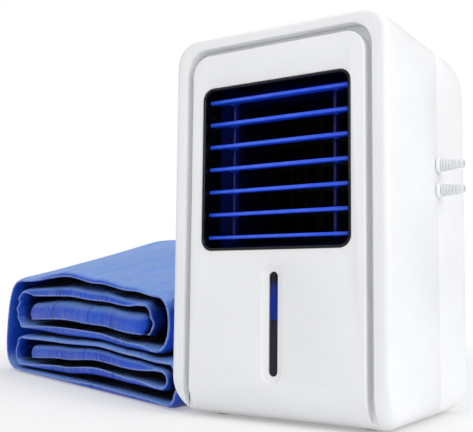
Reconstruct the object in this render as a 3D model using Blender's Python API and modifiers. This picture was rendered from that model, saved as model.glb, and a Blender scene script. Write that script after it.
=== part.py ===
"""Water cooling mattress pad: a small water cooling unit with the folded pad lying beside it.

Metres, +Z up. The unit is drawn with its front face on y = 0 and its middle on x = 0, standing on
z = 0. One empty at the end moves the whole set, so that the origin is the middle of its footprint.
"""

import math

import bmesh
import bpy
from mathutils import Matrix, Vector

# General clearances and counts
GAP = 0.0003                  # between pieces that seat on each other
OVERRUN = 0.002               # how far a cutter runs past what it cuts
MERGE = 0.000001              # points closer than this are one
ROUND_STEPS = 20              # sides of a large round piece
MIDDLE_STEPS = 16             # sides of a button or a hose hole
SMALL_STEPS = 8               # sides of a pin or a small hole
CORNER_STEPS = 4              # steps in a quarter turn of an outline

# Casing
UNIT_HALF_WIDTH = 0.0753
UNIT_TOP = 0.245
UNIT_BOTTOM = 0.0015
UNIT_REAR = 0.143
SEAM = 0.082
WALL = 0.0025
CORNER_TOP = 0.016
CORNER_BOTTOM = 0.012
FRONT_EDGE_WIDTH = 0.0042
FRONT_EDGE_DEPTH = 0.0047
TOE_RADIUS = 0.021            # the front runs back under the unit in this curve
REAR_SIDE_RADIUS = 0.008
REAR_TOP_RADIUS = 0.025
REAR_BOTTOM_RADIUS = 0.020
REAR_CORNER = 0.008
LIP_WALL = 0.0022
SEAM_LIP_DEPTH = 0.0035
SEAM_LIP_WALL = 0.0015
SEAM_LIP_ROOT = 0.003

# Front panel
FRAME_WIDTH = 0.0096
FRAME_TOP_WIDTH = 0.0077
GROOVE_WIDTH = 0.0047
GROOVE_DEPTH = 0.008
FRAME_CORNER = 0.015
PANEL_CORNER = 0.0125
PANEL_EDGE = 0.0009
FLANGE_THICKNESS = 0.0022
FLANGE_REACH = 0.004
TOE_FLANGE_HEIGHT = 0.016

# Air outlet window and its trim
WINDOW_SIDE = 0.009           # from the window to the panel's edge
WINDOW_HALF_WIDTH = UNIT_HALF_WIDTH - FRAME_WIDTH - GROOVE_WIDTH - WINDOW_SIDE
WINDOW_BOTTOM = 0.1054
WINDOW_TOP = 0.2101
WINDOW_CORNER = 0.0075
TRIM_WALL = 0.002
TRIM_PROUD = 0.0006
TRIM_DEPTH = 0.018
TRIM_FLANGE = 0.003
TRIM_FLANGE_THICKNESS = 0.0016

# Louver
SLAT_COUNT = 7
SLAT_PITCH = 0.0147
SLAT_PIVOT_DEPTH = 0.0075
SLAT_NOSE = 0.0044
SLAT_TAIL = 0.0044
SLAT_NOSE_RADIUS = 0.0012
SLAT_TAIL_RADIUS = 0.0006
SLAT_PIN_RADIUS = 0.0008
SLAT_PIN_ENTRY = 0.0014
SLAT_END_PLAY = 0.0011
LINK_INSET = 0.016
LINK_OFFSET = WINDOW_HALF_WIDTH - LINK_INSET
LINK_ARM = 0.0072
LINK_THICKNESS = 0.0018
LINK_HALF_DEPTH = 0.0019
LINK_PIN_RADIUS = 0.0008
LINK_LUG_THICKNESS = 0.0012
LINK_LUG_HALF_HEIGHT = 0.0009

# Air duct, heat exchanger and fan
DUCT_WALL = 0.0016
DUCT_REAR = 0.066
DUCT_REAR_CORNER = 0.004
CORE_SIDE_ROOM = 0.0333       # for the hoses that run up beside the core
CORE_HALF_SIZE = UNIT_HALF_WIDTH - CORE_SIDE_ROOM
CORE_DEPTH = 0.0237
CORE_HEADER = 0.0085
CORE_RAIL = 0.0025
CORE_TUBES = 4
CORE_FINS = 5
CORE_TUBE_THICKNESS = 0.0022
CORE_FIN_THICKNESS = 0.0011
CORE_STUB_LENGTH = 0.005
CORE_STUB_INSET = 0.010
FAN_INSET = 0.002
FAN_HALF_SIZE = CORE_HALF_SIZE - FAN_INSET
FAN_DEPTH = 0.025
FAN_CORNER = 0.004
FAN_RIM = 0.002
FAN_BORE = FAN_HALF_SIZE - FAN_RIM
FAN_TIP_GAP = 0.0008
FAN_HUB_RADIUS = 0.0155
FAN_HUB_WALL = 0.002
FAN_HUB_FRONT = 0.0027
FAN_MOTOR_DEPTH = 0.0043
FAN_SHAFT_RADIUS = 0.002
FAN_STRUTS = 4
FAN_STRUT_WIDTH = 0.004
FAN_BLADES = 7
FAN_BLADE_CHORD = 0.017
FAN_BLADE_THICKNESS = 0.0014
FAN_ROOT_PITCH = math.radians(44)
FAN_TIP_PITCH = math.radians(30)
FAN_HOLE_INSET = 0.00425
FAN_HOLE_SPACING = FAN_HALF_SIZE - FAN_HOLE_INSET
FAN_SCREW_RADIUS = 0.0017
FAN_SCREW_HEAD = 0.0034
FAN_SCREW_HEAD_HEIGHT = 0.0018
FAN_SCREW_ENTRY = 0.003

# Water tank and pump
TANK_SIDE_ROOM = 0.0153       # for the screw columns and the seam's lip
TANK_HALF_WIDTH = UNIT_HALF_WIDTH - TANK_SIDE_ROOM
HOSE_INSET = 0.007
HOSE_X = TANK_HALF_WIDTH - HOSE_INSET
TANK_FRONT = 0.0195
TANK_REAR = 0.122
TANK_TOP = 0.094
TANK_WALL = 0.002
TANK_CORNER = 0.005
DECK_THICKNESS = 0.0025
PUMP_SIDE_ROOM = 0.035        # from the pump's axis to the hose that rises from it
PUMP_X = HOSE_X - PUMP_SIDE_ROOM
PUMP_Y = 0.070
PUMP_RADIUS = 0.016
PUMP_HEIGHT = 0.031
PUMP_SHOULDER = 0.004
PUMP_CHAMBER_RADIUS = 0.0125
PUMP_CHAMBER_HEIGHT = 0.007
PUMP_COVER_THICKNESS = 0.0024
PUMP_COVER_SLOTS = 8
PUMP_COVER_SLOT_INNER = 0.0045
PUMP_COVER_SLOT_OUTER = 0.0125
PUMP_SHAFT_RADIUS = 0.001
PUMP_OUTLET_LENGTH = 0.006
IMPELLER_RADIUS = 0.0115
IMPELLER_HUB = 0.0035
IMPELLER_DISC = 0.0012
IMPELLER_HEIGHT = 0.0055
IMPELLER_VANES = 6
IMPELLER_VANE_THICKNESS = 0.001
HOSE_RADIUS = 0.0035
HOSE_BORE = 0.0022
HOSE_DIP = 0.012

# Water outlets on the right side, on the seam
PORT_UPPER = 0.1621
PORT_PITCH = 0.0162
PORT_LOWER = PORT_UPPER - PORT_PITCH
PORT_FLANGE_RADIUS = 0.0049
PORT_FLANGE_THICKNESS = 0.0026
PORT_BODY_RADIUS = 0.0031
PORT_INNER = 0.0073
PORT_BORE = 0.0019
BOOT_LENGTH = 0.0142
BOOT_ROOT_RADIUS = 0.0036
BOOT_TIP_RADIUS = 0.0029
BOOT_RIB_RISE = 0.0006
BOOT_COLLAR = 0.003
BOOT_RIBS = 5
BOOT_BORE = 0.0021

# Level window
LEVEL_HALF_WIDTH = 0.0031
LEVEL_BOTTOM = 0.0291
LEVEL_TOP = 0.0919
LEVEL_DISH = 0.0042
LEVEL_DISH_DEPTH = 0.0022
LEVEL_BOSS = 0.0065
LEVEL_BOSS_DEPTH = 0.0052
LEVEL_FLANGE = 0.003
LEVEL_FLANGE_THICKNESS = 0.002

# Filler on the top
FILLER_PLACE_SHARE = 380 / 753
FILLER_X = -UNIT_HALF_WIDTH * FILLER_PLACE_SHARE
FILLER_Y = 0.050
FILLER_RADIUS = 0.016
FILLER_FLANGE = 0.020
FILLER_FLANGE_THICKNESS = 0.0012
FILLER_WALL = 0.0018
FILLER_CUP_DEPTH = 0.017
FILLER_CONE_DEPTH = 0.007
FILLER_SPOUT_DEPTH = 0.004
LID_RADIUS = 0.018
LID_THICKNESS = 0.002
LID_CROWN = 0.0006
LID_PLUG_DEPTH = 0.0026
LID_PLUG_WALL = 0.0016
LID_PLUG_PLAY = 0.0004
HINGE_BEHIND = 0.0215
HINGE_RISE = 0.0011
KNUCKLE_HALF_WIDTH = 0.0045
KNUCKLE_HALF_HEIGHT = 0.0016
EAR_WIDTH = 0.002
LID_PIN_RADIUS = 0.0009
LID_TAB_WIDTH = 0.008
LID_TAB_REACH = 0.003

# Controls on the top
CONTROL_FILLER_ROOM = 0.013   # from the filler's flange to the panel
CONTROL_SIDE_ROOM = 0.0023    # from the panel to the casing's round edge
CONTROL_LEFT = FILLER_X + FILLER_FLANGE + CONTROL_FILLER_ROOM
CONTROL_RIGHT = UNIT_HALF_WIDTH - CORNER_TOP - CONTROL_SIDE_ROOM
CONTROL_X = (CONTROL_LEFT + CONTROL_RIGHT) / 2
CONTROL_Y = 0.050
CONTROL_HALF_WIDTH = (CONTROL_RIGHT - CONTROL_LEFT) / 2
CONTROL_HALF_DEPTH = 0.017
CONTROL_CORNER = 0.005
CONTROL_PROUD = 0.0004
CONTROL_FLANGE = 0.003
CONTROL_FLANGE_THICKNESS = 0.0022
BUTTON_PLACE_SHARE = 18 / 31
BUTTON_PITCH = CONTROL_HALF_WIDTH * BUTTON_PLACE_SHARE
BUTTON_RADIUS = 0.0047
BUTTON_PROUD = 0.0012
BUTTON_SKIRT = 0.0014
BUTTON_SKIRT_HEIGHT = 0.0014
BUTTON_STEM_RADIUS = 0.0015
BUTTON_STEM = 0.0032
BUTTON_TRAVEL = 0.0008
BOARD_THICKNESS = 0.0016
SWITCH_SIZE = 0.006
SWITCH_HEIGHT = 0.003
POST_RADIUS = 0.002
POST_INSET = 0.004

# Back of the unit
GRILLE_OVERLAP = 0.002        # how far it reaches past the core all round
GRILLE_HALF_SIZE = CORE_HALF_SIZE + GRILLE_OVERLAP
GRILLE_CORNER = 0.006
GRILLE_FLANGE = 0.003
GRILLE_FLANGE_THICKNESS = 0.002
GRILLE_PROUD = 0.0003
GRILLE_RIM = 0.004
GRILLE_ROWS = 6
GRILLE_COLUMNS = 2
GRILLE_BAR = 0.004
INLET_SIDE_ROOM = 0.0313
INLET_X = UNIT_HALF_WIDTH - INLET_SIDE_ROOM
INLET_Z = 0.034
INLET_RADIUS = 0.0045
INLET_FLANGE = 0.0062
INLET_FLANGE_THICKNESS = 0.0013
INLET_DEPTH = 0.012
INLET_BORE = 0.00275
INLET_BORE_DEPTH = 0.009
INLET_PIN_RADIUS = 0.0009
SCREW_SIDE_ROOM = 0.0087
SCREW_X = UNIT_HALF_WIDTH - SCREW_SIDE_ROOM
SCREW_LOW = 0.0265
SCREW_HIGH = 0.2125
SCREW_COLUMN_RADIUS = 0.0052
SCREW_COLUMN_REACH = 0.003    # how far the columns pass the seam into the front shell
SCREW_BORE = 0.0037
SCREW_SEAT = 0.088
SCREW_HEAD_RADIUS = 0.0032
SCREW_HEAD_HEIGHT = 0.002
SCREW_RADIUS = 0.0015
SCREW_LENGTH = 0.018
BOSS_RADIUS = 0.004
BOSS_LENGTH = 0.033
BOSS_RIB = 0.002

# Feet
FOOT_RADIUS = 0.007
FOOT_THICKNESS = 0.0024
FOOT_SIDE_ROOM = 0.0233
FOOT_X = UNIT_HALF_WIDTH - FOOT_SIDE_ROOM
FOOT_FRONT = 0.032
FOOT_REAR = 0.108

# Folded pad: one long strip, rolled in from both ends and folded over in the middle
PAD_THICKNESS = 0.005
PAD_LAYER_GAP = 0.001
PAD_FLOOR_GAP = 0.00004
PAD_FRONT_HEIGHT = 0.096
PAD_BACK_HEIGHT = 0.139
PAD_LENGTH = 0.3305           # from the left end of the straight layers' zero to the right folds
PAD_DEPTH = 0.167
PAD_TURN = math.radians(-22.7)
PAD_SIDE_GAP = 0.004
PAD_TIP_Y = 0.014
PAD_LEAN = 0.010
PAD_BACK_SAG_SHARE = 0.12
PAD_ROWS = 4
PAD_RUN_STEPS = 6
PAD_FOLD_STEPS = 6
# How much of the loose height lies below each layer, from the bottom layer to the top one,
# at five places along the front
PAD_STATION_SHARES = (0.12, 0.39, 0.60, 0.79, 0.91)
PAD_LOOSE_SHARES = (
    (0.00, 0.00, 0.00, 0.00, 0.00),
    (0.00, 0.05, 0.18, 0.16, 0.14),
    (0.03, 0.18, 0.30, 0.20, 0.14),
    (0.15, 0.24, 0.31, 0.20, 0.14),
    (0.24, 0.27, 0.31, 0.20, 0.14),
    (0.37, 0.32, 0.31, 0.20, 0.16),
    (0.42, 0.48, 0.43, 0.29, 0.25),
    (0.42, 0.49, 0.43, 0.29, 0.25),
    (0.44, 0.52, 0.44, 0.31, 0.27),
    (0.69, 0.73, 0.61, 0.43, 0.38),
    (0.86, 1.00, 0.79, 0.58, 0.43),
)
# The strip's run: (layer, where its next fold turns, reach of that fold), as shares of PAD_LENGTH.
# It starts at the upper core's loose end and finishes at the lower core's.
PAD_START_SHARE = 0.21
PAD_FOLD_SHARES = (
    (7, 0.790, 0.016, 2.0),
    (8, 0.150, 0.019, 2.0),
    (6, 0.835, 0.040, 2.2),
    (9, 0.092, 0.048, 2.2),
    (5, 0.905, 0.058, 2.2),
    (10, 0.066, 0.097, 2.8),
    (0, 0.955, 0.045, 2.2),
    (4, 0.085, 0.040, 2.2),
    (1, 0.930, 0.031, 2.0),
    (3, 0.166, 0.015, 2.0),
)
PAD_LAYERS_UNDER_END_COUNT = 2
PAD_END_SHARE = 0.56

# Finishes: colour, roughness, metallic
FINISHES = {
    "white_plastic": ((0.86, 0.86, 0.87), 0.35, 0.0),
    "black_gloss": ((0.01, 0.01, 0.015), 0.10, 0.0),
    "blue_slat": ((0.02, 0.07, 0.62), 0.25, 0.0),
    "dark_blue_plastic": ((0.01, 0.02, 0.12), 0.30, 0.0),
    "black_plastic": ((0.02, 0.02, 0.025), 0.50, 0.0),
    "level_lens": ((0.02, 0.04, 0.20), 0.08, 0.0),
    "tank_plastic": ((0.75, 0.80, 0.85), 0.30, 0.0),
    "silicone_hose": ((0.80, 0.80, 0.80), 0.45, 0.0),
    "white_rubber": ((0.85, 0.85, 0.86), 0.60, 0.0),
    "foot_rubber": ((0.30, 0.30, 0.31), 0.80, 0.0),
    "aluminium_core": ((0.50, 0.51, 0.53), 0.40, 1.0),
    "screw_steel": ((0.62, 0.62, 0.64), 0.30, 1.0),
    "circuit_board": ((0.02, 0.18, 0.07), 0.45, 0.0),
    "pad_nylon": ((0.05, 0.12, 0.55), 0.50, 0.0),
}

FLATNESS = math.radians(0.05)     # a face bent by more than this is split

# Bodies that the exact solver leaves with an open edge
MANIFOLD_BODIES = {"front_panel", "rear_shell", "seam_lip", "slat"}

# Local X, Y, Z of a flat outline or a turned profile, laid along each world axis
AXIS_TURN = {
    "X": Matrix(((0, 0, 1), (1, 0, 0), (0, 1, 0))),
    "Y": Matrix(((1, 0, 0), (0, 0, -1), (0, 1, 0))),
    "Z": Matrix.Identity(3),
}
AXIS_VECTOR = {"X": Vector((1, 0, 0)), "Y": Vector((0, 1, 0)), "Z": Vector((0, 0, 1))}

for leftover in list(bpy.data.objects):
    bpy.data.objects.remove(leftover)
SCENE = bpy.context.scene
PARTS = bpy.data.collections.new("water_cooling_mattress_pad")
CUTTERS = bpy.data.collections.new("cutters")
SCENE.collection.children.link(PARTS)
SCENE.collection.children.link(CUTTERS)


# Building blocks

def keep_aside(obj):
    """Files a helper among the cutters, where it isn't rendered."""
    for owner in list(obj.users_collection):
        owner.objects.unlink(obj)
    CUTTERS.objects.link(obj)
    obj.hide_render = True
    obj.display_type = "WIRE"
    return obj


def from_bmesh(name, shape):
    """Turns a bmesh into an object whose faces point out."""
    bmesh.ops.recalc_face_normals(shape, faces=shape.faces)
    mesh = bpy.data.meshes.new(name)
    shape.to_mesh(mesh)
    shape.free()
    return keep_aside(bpy.data.objects.new(name, mesh))


def evaluated_mesh(obj):
    """The mesh of an object with its modifiers applied."""
    bpy.context.view_layer.update()
    graph = bpy.context.evaluated_depsgraph_get()
    return bpy.data.meshes.new_from_object(obj.evaluated_get(graph))


def loft(name, rings):
    """A body through rings of equal point count, closed at both ends."""
    shape = bmesh.new()
    rows = [[shape.verts.new(point) for point in ring] for ring in rings]
    count = len(rings[0])
    for lower, upper in zip(rows, rows[1:]):
        for index in range(count):
            after = (index + 1) % count
            shape.faces.new((lower[index], lower[after], upper[after], upper[index]))
    shape.faces.new(rows[0])
    shape.faces.new(rows[-1])
    bmesh.ops.remove_doubles(shape, verts=shape.verts, dist=MERGE)
    bmesh.ops.connect_verts_nonplanar(shape, angle_limit=FLATNESS, faces=shape.faces)
    return from_bmesh(name, shape)


def box(name, low, high):
    """A rectangular block between two corners."""
    shape = bmesh.new()
    bmesh.ops.create_cube(shape, size=1)
    size = Vector(high) - Vector(low)
    middle = (Vector(high) + Vector(low)) / 2
    bmesh.ops.transform(
        shape, matrix=Matrix.Translation(middle) @ Matrix.Diagonal((*size, 1)), verts=shape.verts
    )
    return from_bmesh(name, shape)


def rod(name, axis, start, radius, length, steps=SMALL_STEPS, end_radius=None):
    """A cylinder, or a cone, from a start point along an axis."""
    shape = bmesh.new()
    last = radius if end_radius is None else end_radius
    bmesh.ops.create_cone(
        shape, cap_ends=True, segments=steps, radius1=radius, radius2=last, depth=abs(length)
    )
    turn = AXIS_TURN[axis].to_4x4()
    if axis == "Y":
        turn = turn @ Matrix.Rotation(math.pi, 4, "X")
    middle = Vector(start) + AXIS_VECTOR[axis] * length / 2
    bmesh.ops.transform(shape, matrix=Matrix.Translation(middle) @ turn, verts=shape.verts)
    return from_bmesh(name, shape)


def plate(name, outlines, axis, low, high, offset=(0, 0)):
    """A flat outline, with any further outlines as holes, extruded along an axis."""
    curve = bpy.data.curves.new(name, "CURVE")
    curve.dimensions = "2D"
    curve.fill_mode = "BOTH"
    curve.extrude = abs(high - low) / 2
    for outline in outlines:
        spline = curve.splines.new("POLY")
        spline.points.add(len(outline) - 1)
        for point, (across, along) in zip(spline.points, outline):
            point.co = (across + offset[0], along + offset[1], 0, 1)
        spline.use_cyclic_u = True
    flat = keep_aside(bpy.data.objects.new(name, curve))
    mesh = evaluated_mesh(flat)
    bpy.data.objects.remove(flat)
    place = Matrix.Translation(AXIS_VECTOR[axis] * (low + high) / 2) @ AXIS_TURN[axis].to_4x4()
    mesh.transform(place)
    shape = bmesh.new()
    shape.from_mesh(mesh)
    bmesh.ops.remove_doubles(shape, verts=shape.verts, dist=MERGE)
    bpy.data.meshes.remove(mesh)
    return from_bmesh(name, shape)


def turned(name, profile, axis, start, steps=ROUND_STEPS, closed=False):
    """A profile of (radius, distance along the axis) spun with a Screw modifier."""
    mesh = bpy.data.meshes.new(name)
    edges = [(index, index + 1) for index in range(len(profile) - 1)]
    if closed:
        edges.append((len(profile) - 1, 0))
    mesh.from_pydata([(radius, 0, along) for radius, along in profile], edges, [])
    spun = keep_aside(bpy.data.objects.new(name, mesh))
    screw = spun.modifiers.new("spin", "SCREW")
    screw.axis = "Z"
    screw.steps = steps
    screw.render_steps = steps
    screw.use_merge_vertices = True
    screw.merge_threshold = MERGE
    mesh = evaluated_mesh(spun)
    bpy.data.objects.remove(spun)
    turn = AXIS_TURN[axis].to_4x4()
    if axis == "Y":
        turn = turn @ Matrix.Rotation(math.pi, 4, "X")
    mesh.transform(Matrix.Translation(Vector(start)) @ turn)
    shape = bmesh.new()
    shape.from_mesh(mesh)
    bmesh.ops.remove_doubles(shape, verts=shape.verts, dist=MERGE)
    bpy.data.meshes.remove(mesh)
    return from_bmesh(name, shape)


def combine(obj, others, operation):
    """Adds one Boolean modifier for each of the other bodies."""
    for other in others:
        step = obj.modifiers.new(operation.lower(), "BOOLEAN")
        step.operation = operation
        step.solver = "MANIFOLD" if obj.name in MANIFOLD_BODIES else "EXACT"
        step.object = keep_aside(other)
    return obj


def cut(obj, *others):
    """Cuts the other bodies out of an object."""
    return combine(obj, others, "DIFFERENCE")


def fuse(obj, *others):
    """Joins the other bodies to an object."""
    return combine(obj, others, "UNION")


def settle(obj):
    """Applies an object's modifiers and removes the bodies that they used."""
    helpers = [step.object for step in obj.modifiers if step.type == "BOOLEAN"]
    mesh = evaluated_mesh(obj)
    obj.modifiers.clear()
    obj.data = mesh
    for helper in helpers:
        bpy.data.objects.remove(helper)
    return obj


def finish_material(name):
    """The Principled material of a finish, made once."""
    found = bpy.data.materials.get(name)
    if found:
        return found
    colour, roughness, metallic = FINISHES[name]
    made = bpy.data.materials.new(name)
    made.use_nodes = True
    shader = made.node_tree.nodes["Principled BSDF"]
    shader.inputs["Base Color"].default_value = (*colour, 1)
    shader.inputs["Roughness"].default_value = roughness
    shader.inputs["Metallic"].default_value = metallic
    made.diffuse_color = (*colour, 1)
    return made


def keep_piece(obj, name, finish, pivot=(0, 0, 0)):
    """Files a finished piece among the parts, with its origin on its joint's axis."""
    if obj.type == "MESH":
        settle(obj)
        obj.data.transform(Matrix.Translation(-Vector(pivot)))
        obj.data.shade_smooth()
        obj.data.set_sharp_from_angle(angle=math.radians(35))
    obj.location = pivot
    obj.data.materials.clear()
    obj.data.materials.append(finish_material(finish))
    obj.name = name
    obj.data.name = name
    CUTTERS.objects.unlink(obj)
    PARTS.objects.link(obj)
    obj.hide_render = False
    obj.display_type = "TEXTURED"
    return obj


def group(name, bodies):
    """Several separate bodies as one object."""
    shape = bmesh.new()
    for body in bodies:
        shape.from_mesh(body.data)
        bpy.data.objects.remove(body)
    return from_bmesh(name, shape)


# Outlines

def rounded(half_width, low, high, low_radius, high_radius, steps=CORNER_STEPS):
    """A rectangle with round corners, anticlockwise from its lower left corner."""
    corners = (
        (-half_width + low_radius, low + low_radius, low_radius, math.pi),
        (half_width - low_radius, low + low_radius, low_radius, 1.5 * math.pi),
        (half_width - high_radius, high - high_radius, high_radius, 0),
        (-half_width + high_radius, high - high_radius, high_radius, math.pi / 2),
    )
    points = []
    for across, up, radius, first in corners:
        for step in range(steps + 1):
            angle = first + step / steps * math.pi / 2
            points.append((across + radius * math.cos(angle), up + radius * math.sin(angle)))
    return points


def circle(radius, steps, across=0.0, up=0.0):
    """Points round a circle."""
    turns = [2 * math.pi * step / steps for step in range(steps)]
    return [(across + radius * math.cos(turn), up + radius * math.sin(turn)) for turn in turns]


def arc_inset(distance, across, along):
    """How far a quarter ellipse has drawn in, at a distance before its end."""
    if distance >= along:
        return 0.0
    share = (along - max(distance, 0.0)) / along
    return across * (1 - math.sqrt(max(0.0, 1 - share * share)))


def toe_line(depth, inset=0.0):
    """Height of the underside where the front runs back in the toe curve."""
    centre = UNIT_BOTTOM + TOE_RADIUS
    radius = TOE_RADIUS - inset
    reach = max(TOE_RADIUS - depth, 0.0)
    return centre - math.sqrt(max(0.0, radius * radius - reach * reach))


def casing_ring(depth, inset=0.0):
    """The casing's outline at a depth, drawn in by a wall."""
    front = arc_inset(depth - inset, FRONT_EDGE_WIDTH, FRONT_EDGE_DEPTH)
    left = UNIT_REAR - inset - depth
    side = arc_inset(left, REAR_SIDE_RADIUS - inset, REAR_SIDE_RADIUS - inset)
    top = arc_inset(left, REAR_TOP_RADIUS - inset, REAR_TOP_RADIUS - inset)
    base = arc_inset(left, REAR_BOTTOM_RADIUS - inset, REAR_BOTTOM_RADIUS - inset)
    half = UNIT_HALF_WIDTH - inset - front - side
    high = UNIT_TOP - inset - front - top
    low = toe_line(depth, inset) + base
    blend = side / (REAR_SIDE_RADIUS - inset)
    low_radius = (CORNER_BOTTOM - inset) * (1 - blend) + (REAR_CORNER - inset) * blend
    high_radius = (CORNER_TOP - inset - front) * (1 - blend) + (REAR_CORNER - inset) * blend
    outline = rounded(half, low, high, low_radius, high_radius)
    return [(across, depth, up) for across, up in outline]


def front_depths(first, last):
    """Depths from the front face back, close together round the edge and the toe curve."""
    edge = [FRONT_EDGE_DEPTH * (1 - math.cos(math.radians(turn))) for turn in (0, 28, 56, 90)]
    toe = [TOE_RADIUS * (1 - math.cos(math.radians(turn))) for turn in (52, 65, 78, 90)]
    inside = [depth for depth in edge + toe if first < depth < last]
    return [first, *sorted(inside), last]


def rear_depths(first, last, inset=0.0):
    """Depths towards the back, close together round the rear edges."""
    top = REAR_TOP_RADIUS - inset
    end = UNIT_REAR - inset
    curve = [end - top + top * math.sin(math.radians(turn)) for turn in (0, 22, 42, 60, 76)]
    side = REAR_SIDE_RADIUS - inset
    curve += [end - side + side * math.sin(math.radians(turn)) for turn in (62,)]
    return [first, *sorted(depth for depth in curve if first < depth < last), last]


def casing_body(name, depths, inset=0.0):
    """A solid of the casing's section over a list of depths."""
    return loft(name, [casing_ring(depth, inset) for depth in depths])


# Sizes that follow from the ones above
OPENING_HALF_WIDTH = UNIT_HALF_WIDTH - FRAME_WIDTH
OPENING_TOP = UNIT_TOP - FRAME_TOP_WIDTH
PANEL_HALF_WIDTH = OPENING_HALF_WIDTH - GROOVE_WIDTH
PANEL_TOP = OPENING_TOP - GROOVE_WIDTH
PANEL_BACK = GROOVE_DEPTH + FLANGE_THICKNESS
TOE_CENTRE = UNIT_BOTTOM + TOE_RADIUS
WINDOW_MIDDLE = (WINDOW_BOTTOM + WINDOW_TOP) / 2
WINDOW_HALF_HEIGHT = (WINDOW_TOP - WINDOW_BOTTOM) / 2
TRIM_INNER = WINDOW_HALF_WIDTH - TRIM_WALL
SLAT_HALF_LENGTH = TRIM_INNER - SLAT_END_PLAY
SLAT_HEIGHTS = [
    WINDOW_MIDDLE + SLAT_PITCH * ((SLAT_COUNT - 1) / 2 - index) for index in range(SLAT_COUNT)
]
LINK_DEPTH = SLAT_PIVOT_DEPTH + LINK_ARM
DUCT_FRONT = TRIM_DEPTH + GAP
CORE_FRONT = DUCT_REAR + GAP
CORE_BACK = CORE_FRONT + CORE_DEPTH
FAN_FRONT = CORE_BACK + GAP
FAN_BACK = FAN_FRONT + FAN_DEPTH
SEAM_BACK = SEAM + GAP
SEAM_MIDDLE = SEAM + GAP / 2
TANK_BOTTOM = UNIT_BOTTOM + WALL + SEAM_LIP_WALL + 2 * GAP
PUMP_COVER_BOTTOM = TANK_BOTTOM + TANK_WALL + GAP
PUMP_BOTTOM = PUMP_COVER_BOTTOM + PUMP_COVER_THICKNESS + GAP
PUMP_OUTLET_HEIGHT = PUMP_BOTTOM + PUMP_CHAMBER_HEIGHT / 2
DECK_BOTTOM = TANK_TOP + GAP
DECK_TOP = DECK_BOTTOM + DECK_THICKNESS
SHELL_CEILING = UNIT_TOP - WALL
LID_BOTTOM = UNIT_TOP + GAP + FILLER_FLANGE_THICKNESS + GAP
HINGE_Y = FILLER_Y + HINGE_BEHIND
HINGE_Z = LID_BOTTOM + HINGE_RISE
CONTROL_UNDERSIDE = SHELL_CEILING - GAP - CONTROL_FLANGE_THICKNESS
STEM_END = CONTROL_UNDERSIDE - GAP - BUTTON_SKIRT_HEIGHT - BUTTON_STEM
SWITCH_TOP = STEM_END - BUTTON_TRAVEL - GAP
BOARD_TOP = SWITCH_TOP - SWITCH_HEIGHT
BUTTON_PLACES = {
    "button_power": CONTROL_X - BUTTON_PITCH,
    "button_fan": CONTROL_X,
    "button_timer": CONTROL_X + BUTTON_PITCH,
}


# Casing pieces

def screw_boss(side, height):
    """A boss of the front shell, with the rib that ties it to the side wall."""
    back = SEAM - SCREW_COLUMN_REACH - GAP
    start = (side * SCREW_X, back - BOSS_LENGTH, height)
    boss = rod("boss", "Y", start, BOSS_RADIUS, BOSS_LENGTH)
    inner = side * (SCREW_X + BOSS_RADIUS / 2)
    outer = side * (UNIT_HALF_WIDTH - WALL / 2)
    rib = box(
        "boss_rib",
        (min(inner, outer), back - BOSS_LENGTH, height - BOSS_RIB / 2),
        (max(inner, outer), SEAM - SEAM_LIP_DEPTH - GAP, height + BOSS_RIB / 2),
    )
    hole = rod(
        "boss_hole", "Y", (side * SCREW_X, back + OVERRUN, height), SCREW_RADIUS + GAP,
        -SCREW_LENGTH + SCREW_SEAT - SEAM,
    )
    return boss, rib, hole


def screw_places():
    """The four (side, height) places of the casing screws."""
    return [(side, height) for side in (-1, 1) for height in (SCREW_LOW, SCREW_HIGH)]


def port_hole(height):
    """The hole on the seam that a water outlet passes through."""
    start = (UNIT_HALF_WIDTH - WALL - SEAM_LIP_WALL - OVERRUN, SEAM_MIDDLE, height)
    length = WALL + SEAM_LIP_WALL + 2 * OVERRUN
    return rod("port_hole", "X", start, PORT_BODY_RADIUS + GAP, length, SMALL_STEPS)


def foot_recess(side, depth):
    """The shallow recess in the underside that holds a rubber foot."""
    start = (side * FOOT_X, depth, -OVERRUN)
    return rod("foot_recess", "Z", start, FOOT_RADIUS + GAP, FOOT_THICKNESS + GAP + OVERRUN, MIDDLE_STEPS)


def build_front_shell():
    """The front half of the casing: frame, side walls, top and bottom in one moulding."""
    shell = casing_body("front_shell", front_depths(0.0, SEAM))
    cavity = casing_body("front_cavity", front_depths(WALL, SEAM + OVERRUN), WALL)
    lip_outline = rounded(
        OPENING_HALF_WIDTH + LIP_WALL, -OVERRUN, OPENING_TOP + LIP_WALL, WALL, FRAME_CORNER + LIP_WALL
    )
    cut(cavity, plate("lip_block", [lip_outline], "Y", -OVERRUN, GROOVE_DEPTH - GAP))
    cut(shell, settle(cavity))
    opening = rounded(OPENING_HALF_WIDTH, -2 * OVERRUN, OPENING_TOP, WALL, FRAME_CORNER)
    cut(shell, plate("front_opening", [opening], "Y", -2 * OVERRUN, PANEL_BACK + GAP))
    for side, height in screw_places():
        boss, rib, hole = screw_boss(side, height)
        fuse(shell, boss, rib)
        cut(shell, hole)
    cut(shell, port_hole(PORT_UPPER), port_hole(PORT_LOWER))
    cut(shell, foot_recess(-1, FOOT_FRONT), foot_recess(1, FOOT_FRONT))
    above = SHELL_CEILING - OVERRUN
    filler_hole = (FILLER_X, FILLER_Y, above)
    cut(shell, rod("filler_hole", "Z", filler_hole, FILLER_RADIUS + GAP, WALL + 2 * OVERRUN, ROUND_STEPS))
    control = rounded(
        CONTROL_HALF_WIDTH + GAP, -CONTROL_HALF_DEPTH - GAP, CONTROL_HALF_DEPTH + GAP,
        CONTROL_CORNER, CONTROL_CORNER,
    )
    cut(
        shell,
        plate("control_opening", [control], "Z", above, UNIT_TOP + OVERRUN, (CONTROL_X, CONTROL_Y)),
    )
    keep_piece(shell, "front_shell", "white_plastic")


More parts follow.
